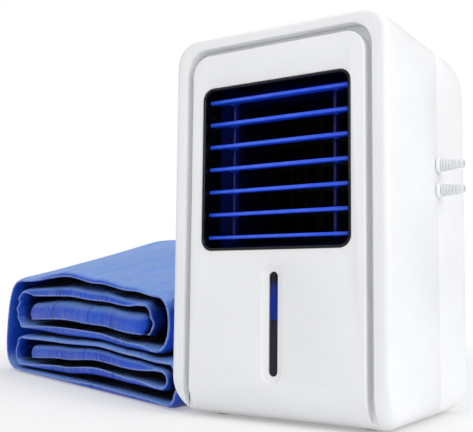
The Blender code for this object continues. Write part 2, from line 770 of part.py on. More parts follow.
def screw_column(side, height):
    """A deep column of the rear shell, and the bore that the screw's head goes down."""
    front = SEAM - SCREW_COLUMN_REACH
    column = rod(
        "column", "Y", (side * SCREW_X, front, height), SCREW_COLUMN_RADIUS,
        UNIT_REAR - WALL / 2 - front, MIDDLE_STEPS,
    )
    deep = rod(
        "column_bore", "Y", (side * SCREW_X, SCREW_SEAT, height), SCREW_BORE,
        UNIT_REAR - SCREW_SEAT + OVERRUN, MIDDLE_STEPS,
    )
    hole = rod(
        "column_hole", "Y", (side * SCREW_X, front - OVERRUN, height), SCREW_RADIUS + GAP,
        SCREW_SEAT - front + 2 * OVERRUN,
    )
    return column, deep, hole


def build_rear_shell():
    """The rear half of the casing, with the lip that closes the seam from inside."""
    shell = casing_body("rear_shell", rear_depths(SEAM_BACK, UNIT_REAR))
    inner_end = UNIT_REAR - WALL
    cut(shell, casing_body("rear_cavity", rear_depths(SEAM_BACK - OVERRUN, inner_end, WALL), WALL))
    lip_front = SEAM - SEAM_LIP_DEPTH
    root = SEAM_BACK + GAP
    slack = WALL + GAP
    lip = loft(
        "seam_lip",
        [
            casing_ring(lip_front, slack),
            casing_ring(root, slack),
            casing_ring(root + GAP, WALL / 2),
            casing_ring(root + SEAM_LIP_ROOT, WALL / 2),
        ],
    )
    inner = slack + SEAM_LIP_WALL
    cut(lip, casing_body("lip_cavity", [lip_front - OVERRUN, root + SEAM_LIP_ROOT + OVERRUN], inner))
    fuse(shell, settle(lip))
    for side, height in screw_places():
        column, deep, hole = screw_column(side, height)
        fuse(shell, column)
        cut(shell, deep, hole)
    cut(shell, port_hole(PORT_UPPER), port_hole(PORT_LOWER))
    cut(shell, foot_recess(-1, FOOT_REAR), foot_recess(1, FOOT_REAR))
    half = GRILLE_HALF_SIZE + GAP
    hole = rounded(half, WINDOW_MIDDLE - half, WINDOW_MIDDLE + half, GRILLE_CORNER, GRILLE_CORNER)
    cut(shell, plate("grille_opening", [hole], "Y", inner_end - OVERRUN, UNIT_REAR + OVERRUN))
    socket = (INLET_X, inner_end - OVERRUN, INLET_Z)
    cut(shell, rod("inlet_hole", "Y", socket, INLET_RADIUS + GAP, WALL + 2 * OVERRUN, MIDDLE_STEPS))
    keep_piece(shell, "rear_shell", "white_plastic")


def panel_ring(depth, inset=0.0):
    """The raised front panel's outline at a depth, following the toe curve below."""
    edge = arc_inset(depth, PANEL_EDGE, PANEL_EDGE) if inset == 0 else 0.0
    outline = rounded(
        PANEL_HALF_WIDTH - inset - edge, toe_line(depth, inset), PANEL_TOP - inset - edge,
        PANEL_EDGE, PANEL_CORNER - inset - edge,
    )
    return [(across, depth, up) for across, up in outline]


def toe_depths(first, last):
    """Depths over the panel's thickness, close enough to draw the toe curve."""
    count = 5
    return [first + (last - first) * step / count for step in range(count + 1)]


def build_front_panel():
    """The raised front panel in one piece with the flange that lies on the groove's floor."""
    edge_depths = [0.0, PANEL_EDGE * 0.3, PANEL_EDGE]
    rings = [panel_ring(depth) for depth in edge_depths + toe_depths(PANEL_EDGE, PANEL_BACK)[1:]]
    panel = loft("front_panel", rings)
    reach = OPENING_HALF_WIDTH + FLANGE_REACH
    flange = rounded(
        reach, TOE_FLANGE_HEIGHT + GAP, OPENING_TOP + FLANGE_REACH - GAP, WALL, FRAME_CORNER
    )
    fuse(panel, plate("flange", [flange], "Y", GROOVE_DEPTH, PANEL_BACK))
    toe_half = OPENING_HALF_WIDTH - GAP
    toe_rings = []
    for depth in toe_depths(GROOVE_DEPTH, PANEL_BACK):
        outline = rounded(toe_half, toe_line(depth), TOE_FLANGE_HEIGHT * 2, PANEL_EDGE, PANEL_EDGE)
        toe_rings.append([(across, depth, up) for across, up in outline])
    fuse(panel, loft("toe_flange", toe_rings))
    hollow = [panel_ring(depth, WALL) for depth in toe_depths(WALL, PANEL_BACK + OVERRUN)]
    cut(panel, loft("panel_cavity", hollow))
    boss = LEVEL_HALF_WIDTH + LEVEL_BOSS
    boss_outline = rounded(boss, LEVEL_BOTTOM - LEVEL_BOSS, LEVEL_TOP + LEVEL_BOSS, boss, boss)
    fuse(panel, plate("level_boss", [boss_outline], "Y", WALL / 2, LEVEL_BOSS_DEPTH))
    cut(panel, level_dish(), level_slot(OVERRUN))
    window = rounded(
        WINDOW_HALF_WIDTH + GAP, WINDOW_BOTTOM - GAP, WINDOW_TOP + GAP, WINDOW_CORNER, WINDOW_CORNER
    )
    cut(panel, plate("window_opening", [window], "Y", -OVERRUN, PANEL_BACK + OVERRUN))
    keep_piece(panel, "front_panel", "white_plastic")


def level_outline(grow):
    """The level slot's outline, widened by a margin."""
    half = LEVEL_HALF_WIDTH + grow
    return rounded(half, LEVEL_BOTTOM - grow, LEVEL_TOP + grow, half, half)


def level_dish():
    """The sloping dish round the level slot."""
    slope = LEVEL_DISH_DEPTH / LEVEL_DISH
    rings = []
    for grow in (LEVEL_DISH + OVERRUN, -GAP):
        depth = LEVEL_DISH_DEPTH - slope * grow
        rings.append([(across, depth, up) for across, up in level_outline(grow)])
    return loft("level_dish", rings)


def level_slot(overrun):
    """The slot that the level window fills."""
    return plate("level_slot", [level_outline(0.0)], "Y", -overrun, LEVEL_BOSS_DEPTH + overrun)


def build_level_window():
    """The clear window of the water level, held by a flange behind the panel."""
    front = LEVEL_DISH_DEPTH + GAP
    back = LEVEL_BOSS_DEPTH + GAP
    window = plate("level_window", [level_outline(-GAP)], "Y", front, back + LEVEL_FLANGE_THICKNESS)
    fuse(
        window,
        plate("level_flange", [level_outline(LEVEL_FLANGE)], "Y", back, back + LEVEL_FLANGE_THICKNESS),
    )
    keep_piece(window, "level_window", "level_lens")


def window_outline(inset, corner_drop=0.0):
    """The air window's outline, drawn in by a wall."""
    corner = WINDOW_CORNER - corner_drop
    return rounded(
        WINDOW_HALF_WIDTH - inset, WINDOW_BOTTOM + inset, WINDOW_TOP - inset, corner, corner
    )


def build_grille_trim():
    """The glossy trim of the air window: a sleeve that also carries the louver's pins."""
    half_proud = TRIM_PROUD / 2
    steps = ((half_proud, -TRIM_PROUD), (0.0, -half_proud), (0.0, TRIM_DEPTH))
    rings = []
    for inset, depth in steps:
        rings.append([(across, depth, up) for across, up in window_outline(inset)])
    trim = loft("grille_trim", rings)
    flange_front = WALL + GAP
    flange = plate(
        "trim_flange", [window_outline(-TRIM_FLANGE)], "Y", flange_front,
        flange_front + TRIM_FLANGE_THICKNESS,
    )
    fuse(trim, flange)
    inner = [(TRIM_WALL - half_proud, -TRIM_PROUD - OVERRUN), (TRIM_WALL - half_proud, -TRIM_PROUD)]
    inner += [(TRIM_WALL, 0.0), (TRIM_WALL, TRIM_DEPTH + OVERRUN)]
    rings = []
    for inset, depth in inner:
        rings.append([(across, depth, up) for across, up in window_outline(inset, TRIM_WALL)])
    cut(trim, loft("trim_cavity", rings))
    length = 2 * (WINDOW_HALF_WIDTH + OVERRUN)
    holes = [
        rod(
            "pin_hole", "X", (-length / 2, SLAT_PIVOT_DEPTH, height), SLAT_PIN_RADIUS + GAP, length
        )
        for height in SLAT_HEIGHTS
    ]
    cut(trim, group("pin_holes", holes))
    keep_piece(trim, "grille_trim", "black_gloss")


# Louver

def slat_section():
    """A slat's section in (y, z) about its pivot: a round nose tapering to a thin tail."""
    points = []
    for step in range(5):
        angle = math.radians(90 + 45 * step)
        centre = -SLAT_NOSE + SLAT_NOSE_RADIUS
        points.append(
            (centre + SLAT_NOSE_RADIUS * math.cos(angle), SLAT_NOSE_RADIUS * math.sin(angle))
        )
    for step in range(3):
        angle = math.radians(-90 + 90 * step)
        centre = SLAT_TAIL - SLAT_TAIL_RADIUS
        points.append(
            (centre + SLAT_TAIL_RADIUS * math.cos(angle), SLAT_TAIL_RADIUS * math.sin(angle))
        )
    return points


def slat_lug(side):
    """The lug behind a slat that carries the link's pin."""
    inner = LINK_OFFSET + LINK_THICKNESS / 2 + GAP
    outer = inner + LINK_LUG_THICKNESS
    low, high = sorted((side * inner, side * outer))
    lug = box(
        "lug",
        (low, SLAT_TAIL - SLAT_TAIL_RADIUS * 2, -LINK_LUG_HALF_HEIGHT),
        (high, LINK_ARM + LINK_LUG_HALF_HEIGHT, LINK_LUG_HALF_HEIGHT),
    )
    reach = LINK_OFFSET - LINK_THICKNESS / 2 - GAP
    length = side * (outer - LINK_LUG_THICKNESS / 2 - reach)
    pin = rod("link_pin", "X", (side * reach, LINK_ARM, 0), LINK_PIN_RADIUS, length, 6)
    return lug, pin


def build_slats():
    """Seven slats alike, each turning on pins at its ends."""
    section = slat_section()
    ends = (-SLAT_HALF_LENGTH, SLAT_HALF_LENGTH)
    first = loft("slat", [[(end, along, up) for along, up in section] for end in ends])
    for side in (-1, 1):
        start = side * (SLAT_HALF_LENGTH - SLAT_PIN_ENTRY)
        length = side * (2 * SLAT_PIN_ENTRY + SLAT_END_PLAY)
        fuse(first, rod("end_pin", "X", (start, 0, 0), SLAT_PIN_RADIUS, length))
        fuse(first, *slat_lug(side))
    settle(first)
    for index, height in enumerate(SLAT_HEIGHTS):
        slat = keep_aside(bpy.data.objects.new("slat", first.data.copy()))
        slat.data.transform(Matrix.Translation((0, SLAT_PIVOT_DEPTH, height)))
        keep_piece(slat, f"slat_{index + 1}", "blue_slat", (0, SLAT_PIVOT_DEPTH, height))
    bpy.data.objects.remove(first)


def build_links():
    """The two upright bars behind the slats that make them tilt together."""
    middle = SLAT_COUNT // 2
    half_height = SLAT_PITCH * (SLAT_COUNT - 1) / 2 + LINK_HALF_DEPTH
    outline = rounded(
        LINK_HALF_DEPTH, WINDOW_MIDDLE - half_height, WINDOW_MIDDLE + half_height,
        LINK_HALF_DEPTH * 0.9, LINK_HALF_DEPTH * 0.9, 2,
    )
    holes = [circle(LINK_PIN_RADIUS + GAP, 8, 0, height) for height in SLAT_HEIGHTS]
    for name, side in (("louver_link_left", -1), ("louver_link_right", 1)):
        low = side * LINK_OFFSET - LINK_THICKNESS / 2
        link = plate(name, [outline, *holes], "X", low, low + LINK_THICKNESS, (LINK_DEPTH, 0))
        keep_piece(link, name, "dark_blue_plastic", (side * LINK_OFFSET, LINK_DEPTH, SLAT_HEIGHTS[middle]))


# Air path

def build_air_duct():
    """The tapered duct from the fan to the air window."""
    half = CORE_HALF_SIZE
    front = rounded(
        WINDOW_HALF_WIDTH, WINDOW_BOTTOM, WINDOW_TOP, WINDOW_CORNER, WINDOW_CORNER, 3
    )
    back = rounded(
        half, WINDOW_MIDDLE - half, WINDOW_MIDDLE + half, DUCT_REAR_CORNER, DUCT_REAR_CORNER, 3
    )
    rings = [
        [(across, DUCT_FRONT, up) for across, up in front],
        [(across, DUCT_REAR, up) for across, up in back],
    ]
    duct = loft("air_duct", rings)
    inner_front = rounded(
        WINDOW_HALF_WIDTH - DUCT_WALL, WINDOW_BOTTOM + DUCT_WALL, WINDOW_TOP - DUCT_WALL,
        WINDOW_CORNER - DUCT_WALL, WINDOW_CORNER - DUCT_WALL, 3,
    )
    bore = half - DUCT_WALL
    inner_back = rounded(
        bore, WINDOW_MIDDLE - bore, WINDOW_MIDDLE + bore,
        DUCT_REAR_CORNER - DUCT_WALL, DUCT_REAR_CORNER - DUCT_WALL, 3,
    )
    slope = OVERRUN / (DUCT_REAR - DUCT_FRONT)
    inner = []
    for share in (-slope, 1 + slope):
        ring = []
        for (front_x, front_z), (back_x, back_z) in zip(inner_front, inner_back):
            ring.append(
                (
                    front_x + (back_x - front_x) * share,
                    DUCT_FRONT + (DUCT_REAR - DUCT_FRONT) * share,
                    front_z + (back_z - front_z) * share,
                )
            )
        inner.append(ring)
    cut(duct, loft("duct_bore", inner))
    keep_piece(duct, "air_duct", "dark_blue_plastic")


def core_openings():
    """The air gaps between the core's tubes and fins."""
    half_width = CORE_HALF_SIZE - CORE_HEADER
    half_height = CORE_HALF_SIZE - CORE_RAIL
    columns = CORE_FINS + 1
    rows = CORE_TUBES + 1
    width = (2 * half_width - CORE_FINS * CORE_FIN_THICKNESS) / columns
    height = (2 * half_height - CORE_TUBES * CORE_TUBE_THICKNESS) / rows
    found = []
    for column in range(columns):
        left = -half_width + column * (width + CORE_FIN_THICKNESS)
        for row in range(rows):
            low = WINDOW_MIDDLE - half_height + row * (height + CORE_TUBE_THICKNESS)
            near = (left, CORE_FRONT - OVERRUN, low)
            far = (left + width, CORE_BACK + OVERRUN, low + height)
            found.append(box("air_gap", near, far))
    return group("air_gaps", found)


def core_stub_heights():
    """Heights of the core's lower and upper water stubs."""
    reach = CORE_HALF_SIZE - CORE_STUB_INSET
    return WINDOW_MIDDLE - reach, WINDOW_MIDDLE + reach


def build_heat_exchanger():
    """The finned core that the water runs through, with its two header tanks and stubs."""
    half = CORE_HALF_SIZE
    outline = rounded(half, WINDOW_MIDDLE - half, WINDOW_MIDDLE + half, CORE_RAIL, CORE_RAIL, 2)
    core = plate("heat_exchanger", [outline], "Y", CORE_FRONT, CORE_BACK)
    cut(core, core_openings())
    middle = (CORE_FRONT + CORE_BACK) / 2
    for height in core_stub_heights():
        start = (half - OVERRUN, middle, height)
        fuse(core, rod("stub", "X", start, HOSE_BORE, CORE_STUB_LENGTH + OVERRUN))
    for across, up in fan_corners():
        start = (across, CORE_BACK + OVERRUN, up)
        hole = rod("core_hole", "Y", start, FAN_SCREW_RADIUS + GAP, -FAN_SCREW_ENTRY - OVERRUN - GAP)
        cut(core, hole)
    keep_piece(core, "heat_exchanger", "aluminium_core")


def fan_corners():
    """The four screw places of the fan."""
    reach = FAN_HOLE_SPACING
    return [(x, WINDOW_MIDDLE + z) for x in (-reach, reach) for z in (-reach, reach)]


def build_fan_frame():
    """The square fan frame, with the motor seat and shaft on four struts."""
    half = FAN_HALF_SIZE
    outline = rounded(half, WINDOW_MIDDLE - half, WINDOW_MIDDLE + half, FAN_CORNER, FAN_CORNER, 3)
    frame = plate("fan_frame", [outline], "Y", FAN_FRONT, FAN_BACK)
    front, length = FAN_FRONT - OVERRUN, FAN_DEPTH + 2 * OVERRUN
    cut(frame, rod("bore", "Y", (0, front, WINDOW_MIDDLE), FAN_BORE, length, ROUND_STEPS))
    for across, up in fan_corners():
        cut(frame, rod("screw_hole", "Y", (across, front, up), FAN_SCREW_RADIUS + GAP, length))
    seat_front = FAN_BACK - FAN_MOTOR_DEPTH
    seat = rod("seat", "Y", (0, seat_front, WINDOW_MIDDLE), FAN_HUB_RADIUS, FAN_MOTOR_DEPTH, ROUND_STEPS)
    shaft_length = FAN_DEPTH - FAN_MOTOR_DEPTH - FAN_HUB_FRONT - FAN_HUB_WALL - GAP
    shaft_start = (0, FAN_BACK - FAN_MOTOR_DEPTH / 2, WINDOW_MIDDLE)
    shaft = rod("shaft", "Y", shaft_start, FAN_SHAFT_RADIUS, -shaft_length - FAN_MOTOR_DEPTH / 2)
    fuse(frame, seat, shaft)
    for index in range(FAN_STRUTS // 2):
        arm = box(
            "strut",
            (-FAN_BORE - OVERRUN / 2, FAN_BACK - FAN_MOTOR_DEPTH * 0.9, -FAN_STRUT_WIDTH / 2),
            (FAN_BORE + OVERRUN / 2, FAN_BACK - FAN_MOTOR_DEPTH * 0.1, FAN_STRUT_WIDTH / 2),
        )
        turn = Matrix.Rotation(math.pi * (index / (FAN_STRUTS // 2) + 0.25), 4, "Y")
        arm.data.transform(Matrix.Translation((0, 0, WINDOW_MIDDLE)) @ turn)
        fuse(frame, arm)
    keep_piece(frame, "fan_frame", "black_plastic")


def fan_blade(turn):
    """One twisted blade, from inside the hub to just short of the bore."""
    root = FAN_HUB_RADIUS - FAN_HUB_WALL / 2
    tip = FAN_BORE - FAN_TIP_GAP
    middle = (FAN_FRONT + FAN_HUB_FRONT + FAN_BACK - FAN_MOTOR_DEPTH) / 2
    rings = []
    for step in range(3):
        share = step / 2
        radius = root + (tip - root) * share
        pitch = FAN_ROOT_PITCH + (FAN_TIP_PITCH - FAN_ROOT_PITCH) * share
        ring = []
        for along, thick in circle(1, 6):
            chord = along * FAN_BLADE_CHORD / 2
            offset = thick * FAN_BLADE_THICKNESS / 2
            sideways = chord * math.cos(pitch) - offset * math.sin(pitch)
            axial = chord * math.sin(pitch) + offset * math.cos(pitch)
            angle = turn + sideways / radius
            ring.append(
                (radius * math.cos(angle), middle + axial, WINDOW_MIDDLE + radius * math.sin(angle))
            )
        rings.append(ring)
    return loft("blade", rings)


def build_fan_rotor():
    """The fan's hub cup with its blades, running on the frame's shaft."""
    front = FAN_FRONT + FAN_HUB_FRONT
    depth = FAN_BACK - FAN_MOTOR_DEPTH - 2 * GAP - front
    boss = FAN_SHAFT_RADIUS + FAN_HUB_WALL
    bore = FAN_SHAFT_RADIUS + GAP
    cup = FAN_HUB_RADIUS - FAN_HUB_WALL
    profile = [
        (0, 0),
        (cup, 0),
        (FAN_HUB_RADIUS, FAN_HUB_WALL),
        (FAN_HUB_RADIUS, depth),
        (cup, depth),
        (cup, FAN_HUB_WALL),
        (boss, FAN_HUB_WALL * 1.5),
        (boss, depth - FAN_HUB_WALL),
        (bore, depth - FAN_HUB_WALL),
        (bore, FAN_HUB_WALL),
        (0, FAN_HUB_WALL),
    ]
    rotor = turned("fan_rotor", profile, "Y", (0, front, WINDOW_MIDDLE))
    blades = [fan_blade(2 * math.pi * index / FAN_BLADES) for index in range(FAN_BLADES)]
    fuse(rotor, group("blades", blades))
    keep_piece(rotor, "fan_rotor", "black_plastic", (0, (FAN_FRONT + FAN_BACK) / 2, WINDOW_MIDDLE))


def build_fan_screws():
    """The four screws that hold the fan on the heat exchanger."""
    for index, (across, up) in enumerate(fan_corners()):
        under_head = FAN_BACK + GAP
        length = FAN_DEPTH + 2 * GAP + FAN_SCREW_ENTRY
        profile = [
            (0, -length),
            (FAN_SCREW_RADIUS, -length),
            (FAN_SCREW_RADIUS, 0),
            (FAN_SCREW_HEAD, 0),
            (FAN_SCREW_HEAD, FAN_SCREW_HEAD_HEIGHT / 2),
            (FAN_SCREW_HEAD * 0.7, FAN_SCREW_HEAD_HEIGHT),
            (0, FAN_SCREW_HEAD_HEIGHT),
        ]
        screw = turned("screw", profile, "Y", (across, under_head, up), SMALL_STEPS)
        keep_piece(screw, f"fan_screw_{index + 1}", "screw_steel")


# Water path

def build_tank():
    """The open water tank in the bottom of the casing, and the deck that closes it."""
    outer = rounded(TANK_HALF_WIDTH, TANK_FRONT, TANK_REAR, TANK_CORNER, TANK_CORNER, 3)
    tank = plate("water_tank", [outer], "Z", TANK_BOTTOM, TANK_TOP)
    inner = rounded(
        TANK_HALF_WIDTH - TANK_WALL, TANK_FRONT + TANK_WALL, TANK_REAR - TANK_WALL,
        TANK_CORNER - TANK_WALL, TANK_CORNER - TANK_WALL, 3,
    )
    cut(tank, plate("tank_cavity", [inner], "Z", TANK_BOTTOM + TANK_WALL, TANK_TOP + OVERRUN))
    keep_piece(tank, "water_tank", "tank_plastic")
    holes = [
        circle(HOSE_RADIUS + GAP, SMALL_STEPS, across, along) for across, along in hose_places()
    ]
    deck = plate("tank_deck", [outer, *holes], "Z", DECK_BOTTOM, DECK_TOP)
    keep_piece(deck, "tank_deck", "tank_plastic")


def hose_places():
    """Where the three hoses pass the deck: from the pump, from the pad and from the filler."""
    return (HOSE_X, PUMP_Y), (HOSE_X, PUMP_Y + 6 * HOSE_RADIUS), (-HOSE_X, FILLER_Y)


def build_pump():
    """The submersible pump: strainer cover, housing with its chamber, and impeller."""
    slots = []
    for index in range(PUMP_COVER_SLOTS):
        centre = 2 * math.pi * index / PUMP_COVER_SLOTS
        half = math.pi / PUMP_COVER_SLOTS / 2
        slot = [
            (radius * math.cos(angle), radius * math.sin(angle))
            for radius, angle in (
                (PUMP_COVER_SLOT_INNER, centre - half),
                (PUMP_COVER_SLOT_OUTER, centre - half),
                (PUMP_COVER_SLOT_OUTER, centre + half),
                (PUMP_COVER_SLOT_INNER, centre + half),
            )
        ]
        slots.append(slot)
    top = PUMP_COVER_BOTTOM + PUMP_COVER_THICKNESS
    outlines = [circle(PUMP_RADIUS, ROUND_STEPS), *slots]
    cover = plate("pump_cover", outlines, "Z", PUMP_COVER_BOTTOM, top, (PUMP_X, PUMP_Y))
    keep_piece(cover, "pump_cover", "black_plastic")
    ceiling = PUMP_CHAMBER_HEIGHT
    shaft_end = IMPELLER_DISC + 2 * GAP
    profile = [
        (0, PUMP_HEIGHT),
        (PUMP_RADIUS - PUMP_SHOULDER, PUMP_HEIGHT),
        (PUMP_RADIUS, PUMP_HEIGHT - PUMP_SHOULDER),
        (PUMP_RADIUS, 0),
        (PUMP_CHAMBER_RADIUS, 0),
        (PUMP_CHAMBER_RADIUS, ceiling),
        (PUMP_SHAFT_RADIUS, ceiling),
        (PUMP_SHAFT_RADIUS, shaft_end),
        (0, shaft_end),
    ]
    housing = turned("pump_housing", profile, "Z", (PUMP_X, PUMP_Y, PUMP_BOTTOM), MIDDLE_STEPS)
    start = PUMP_X + PUMP_CHAMBER_RADIUS + OVERRUN / 2
    end = PUMP_X + PUMP_RADIUS + PUMP_OUTLET_LENGTH
    place = (start, PUMP_Y, PUMP_OUTLET_HEIGHT)
    fuse(housing, rod("outlet", "X", place, HOSE_RADIUS - GAP, end - start))
    inside = (PUMP_X + PUMP_CHAMBER_RADIUS - OVERRUN, PUMP_Y, PUMP_OUTLET_HEIGHT)
    cut(housing, rod("outlet_bore", "X", inside, HOSE_BORE, end - inside[0] + OVERRUN))
    keep_piece(housing, "pump_housing", "black_plastic")
    bore = PUMP_SHAFT_RADIUS + GAP
    wheel = [
        (0, 0),
        (IMPELLER_RADIUS, 0),
        (IMPELLER_RADIUS, IMPELLER_DISC),
        (IMPELLER_HUB, IMPELLER_DISC),
        (IMPELLER_HUB, IMPELLER_HEIGHT),
        (bore, IMPELLER_HEIGHT),
        (bore, IMPELLER_DISC),
        (0, IMPELLER_DISC),
    ]
    low = PUMP_BOTTOM + GAP
    impeller = turned("pump_impeller", wheel, "Z", (PUMP_X, PUMP_Y, low), MIDDLE_STEPS)
    for index in range(IMPELLER_VANES):
        vane = box(
            "vane",
            (bore + IMPELLER_VANE_THICKNESS, -IMPELLER_VANE_THICKNESS / 2, IMPELLER_DISC / 2),
            (IMPELLER_RADIUS * 0.97, IMPELLER_VANE_THICKNESS / 2, IMPELLER_HEIGHT * 0.9),
        )
        turn = Matrix.Rotation(2 * math.pi * index / IMPELLER_VANES, 4, "Z")
        vane.data.transform(Matrix.Translation((PUMP_X, PUMP_Y, low)) @ turn)
        fuse(impeller, vane)
    keep_piece(impeller, "pump_impeller", "black_plastic", (PUMP_X, PUMP_Y, low))


def smooth_route(points, steps=2):
    """Points along a smooth curve through a hose's own points, with straight ends."""
    route = [points[0]]
    for before, start, end, after in zip(points, points[1:], points[2:], points[3:]):
        for step in range(steps):
            share = step / steps
            route.append(
                0.5
                * (
                    2 * start
                    + (end - before) * share
                    + (2 * before - 5 * start + 4 * end - after) * share**2
                    + (3 * start - before - 3 * end + after) * share**3
                )
            )
    return [*route, *points[-2:]]


def build_hose(name, points):
    """An inner hose as a bevelled curve with filled ends."""
    curve = bpy.data.curves.new(name, "CURVE")
    curve.dimensions = "3D"
    curve.bevel_depth = HOSE_RADIUS
    curve.bevel_resolution = 2
    curve.use_fill_caps = True
    route = smooth_route([Vector(point) for point in points])
    spline = curve.splines.new("POLY")
    spline.points.add(len(route) - 1)
    for point, place in zip(spline.points, route):
        point.co = (*place, 1)
    keep_piece(keep_aside(bpy.data.objects.new(name, curve)), name, "silicone_hose")


def build_hoses():
    """The hoses inside the unit: pump to core, core to pad outlet, pad inlet to tank, filler to tank."""
    bend = 2 * HOSE_RADIUS
    core_y = (CORE_FRONT + CORE_BACK) / 2
    core_low, core_high = core_stub_heights()
    core_x = CORE_HALF_SIZE + CORE_STUB_LENGTH + GAP
    out_x = PUMP_X + PUMP_RADIUS + PUMP_OUTLET_LENGTH + GAP
    port_x = UNIT_HALF_WIDTH - PORT_INNER - GAP
    (_, pump_y), (_, return_y), (_, filler_y) = hose_places()
    low = PUMP_OUTLET_HEIGHT
    build_hose(
        "pump_hose",
        [
            (out_x, PUMP_Y, low),
            (out_x + bend / 2, PUMP_Y, low),
            (HOSE_X - bend / 6, PUMP_Y, low + bend / 2),
            (HOSE_X, PUMP_Y, low + bend * 2),
            (HOSE_X, pump_y, DECK_BOTTOM - bend * 4),
            (HOSE_X, pump_y, DECK_TOP),
            (HOSE_X + bend / 3, (pump_y + core_y) / 2, core_low - bend * 2),
            (HOSE_X + bend / 3, core_y, core_low - bend * 0.7),
            (core_x + bend / 2, core_y, core_low),
            (core_x, core_y, core_low),
        ],
    )
    build_hose(
        "supply_hose",
        [
            (core_x, core_y, core_high),
            (core_x + bend / 2, core_y, core_high),
            (HOSE_X + bend * 0.4, (core_y * 3 + SEAM_MIDDLE) / 4, core_high - bend * 0.7),
            (HOSE_X + bend * 0.7, (core_y + SEAM_MIDDLE) / 2, (core_high + PORT_UPPER) / 2),
            (port_x - bend, SEAM_MIDDLE, PORT_UPPER + bend * 0.4),
            (port_x - bend / 2, SEAM_MIDDLE, PORT_UPPER),
            (port_x, SEAM_MIDDLE, PORT_UPPER),
        ],
    )
    build_hose(
        "return_hose",
        [
            (port_x, SEAM_MIDDLE, PORT_LOWER),
            (port_x - bend / 2, SEAM_MIDDLE, PORT_LOWER),
            (HOSE_X + bend * 0.7, (SEAM_MIDDLE * 3 + return_y) / 4, PORT_LOWER - bend * 0.7),
            (HOSE_X, return_y, PORT_LOWER - bend * 3),
            (HOSE_X, return_y, DECK_TOP),
            (HOSE_X, return_y, DECK_BOTTOM - HOSE_DIP),
        ],
    )
    spout = filler_bottom() - GAP
    build_hose(
        "filler_hose",
        [
            (FILLER_X, FILLER_Y, spout),
            (FILLER_X, filler_y, spout - bend / 2),
            (FILLER_X - bend * 1.1, filler_y, spout - bend * 1.1),
            (-HOSE_X - bend * 0.2, filler_y, spout - bend * 2.3),
            (-HOSE_X - bend * 0.7, filler_y, spout - bend * 4.2),
            (-HOSE_X - bend * 0.7, filler_y, WINDOW_MIDDLE),
            (-HOSE_X - bend / 4, filler_y, DECK_TOP + bend * 2),
            (-HOSE_X, filler_y, DECK_TOP),
            (-HOSE_X, filler_y, DECK_BOTTOM - HOSE_DIP),
        ],
    )


def build_port(name, height):
    """A water outlet: a flange on the side wall with a spigot that reaches inside."""
    length = PORT_INNER + GAP
    far = length + PORT_FLANGE_THICKNESS
    profile = [
        (PORT_BORE, 0),
        (PORT_BODY_RADIUS, 0),
        (PORT_BODY_RADIUS, length),
        (PORT_FLANGE_RADIUS, length),
        (PORT_FLANGE_RADIUS, far - PORT_FLANGE_THICKNESS / 3),
        (PORT_FLANGE_RADIUS - PORT_FLANGE_THICKNESS / 3, far),
        (PORT_BORE, far),
    ]
    start = (UNIT_HALF_WIDTH - PORT_INNER, SEAM_MIDDLE, height)
    keep_piece(turned(name, profile, "X", start, 12, True), name, "white_plastic")


def build_boot(name, height):
    """The ribbed rubber boot on a water outlet, tapering to its end collar."""
    profile = [(BOOT_BORE, 0), (BOOT_ROOT_RADIUS + BOOT_RIB_RISE, 0)]
    ribbed = BOOT_LENGTH - BOOT_COLLAR
    pitch = ribbed / (BOOT_RIBS + 0.5)
    for rib in range(BOOT_RIBS):
        start = pitch * (rib + 0.75)
        taper = (BOOT_ROOT_RADIUS - BOOT_TIP_RADIUS) * start / ribbed
        root = BOOT_ROOT_RADIUS - taper
        profile.append((root, start - pitch * 0.25))
        profile.append((root + BOOT_RIB_RISE, start + pitch * 0.25))
    profile.append((BOOT_TIP_RADIUS, ribbed))
    profile.append((BOOT_TIP_RADIUS + BOOT_RIB_RISE, BOOT_LENGTH - BOOT_COLLAR / 2))
    profile.append((BOOT_TIP_RADIUS, BOOT_LENGTH))
    profile.append((BOOT_BORE, BOOT_LENGTH))
    start = (UNIT_HALF_WIDTH + PORT_FLANGE_THICKNESS + 2 * GAP, SEAM_MIDDLE, height)
    keep_piece(turned(name, profile, "X", start, 12, True), name, "white_rubber")


# Filler

def filler_bottom():
    """Height of the end of the filler's spout."""
    return UNIT_TOP - FILLER_CUP_DEPTH - FILLER_CONE_DEPTH - FILLER_SPOUT_DEPTH


def hinge_hole(name, radius):
    """A round body on the lid's hinge line, as wide as both ears and a little more."""
    half = KNUCKLE_HALF_WIDTH + GAP + EAR_WIDTH + GAP
    return rod(name, "X", (FILLER_X - half, HINGE_Y, HINGE_Z), radius, 2 * half)


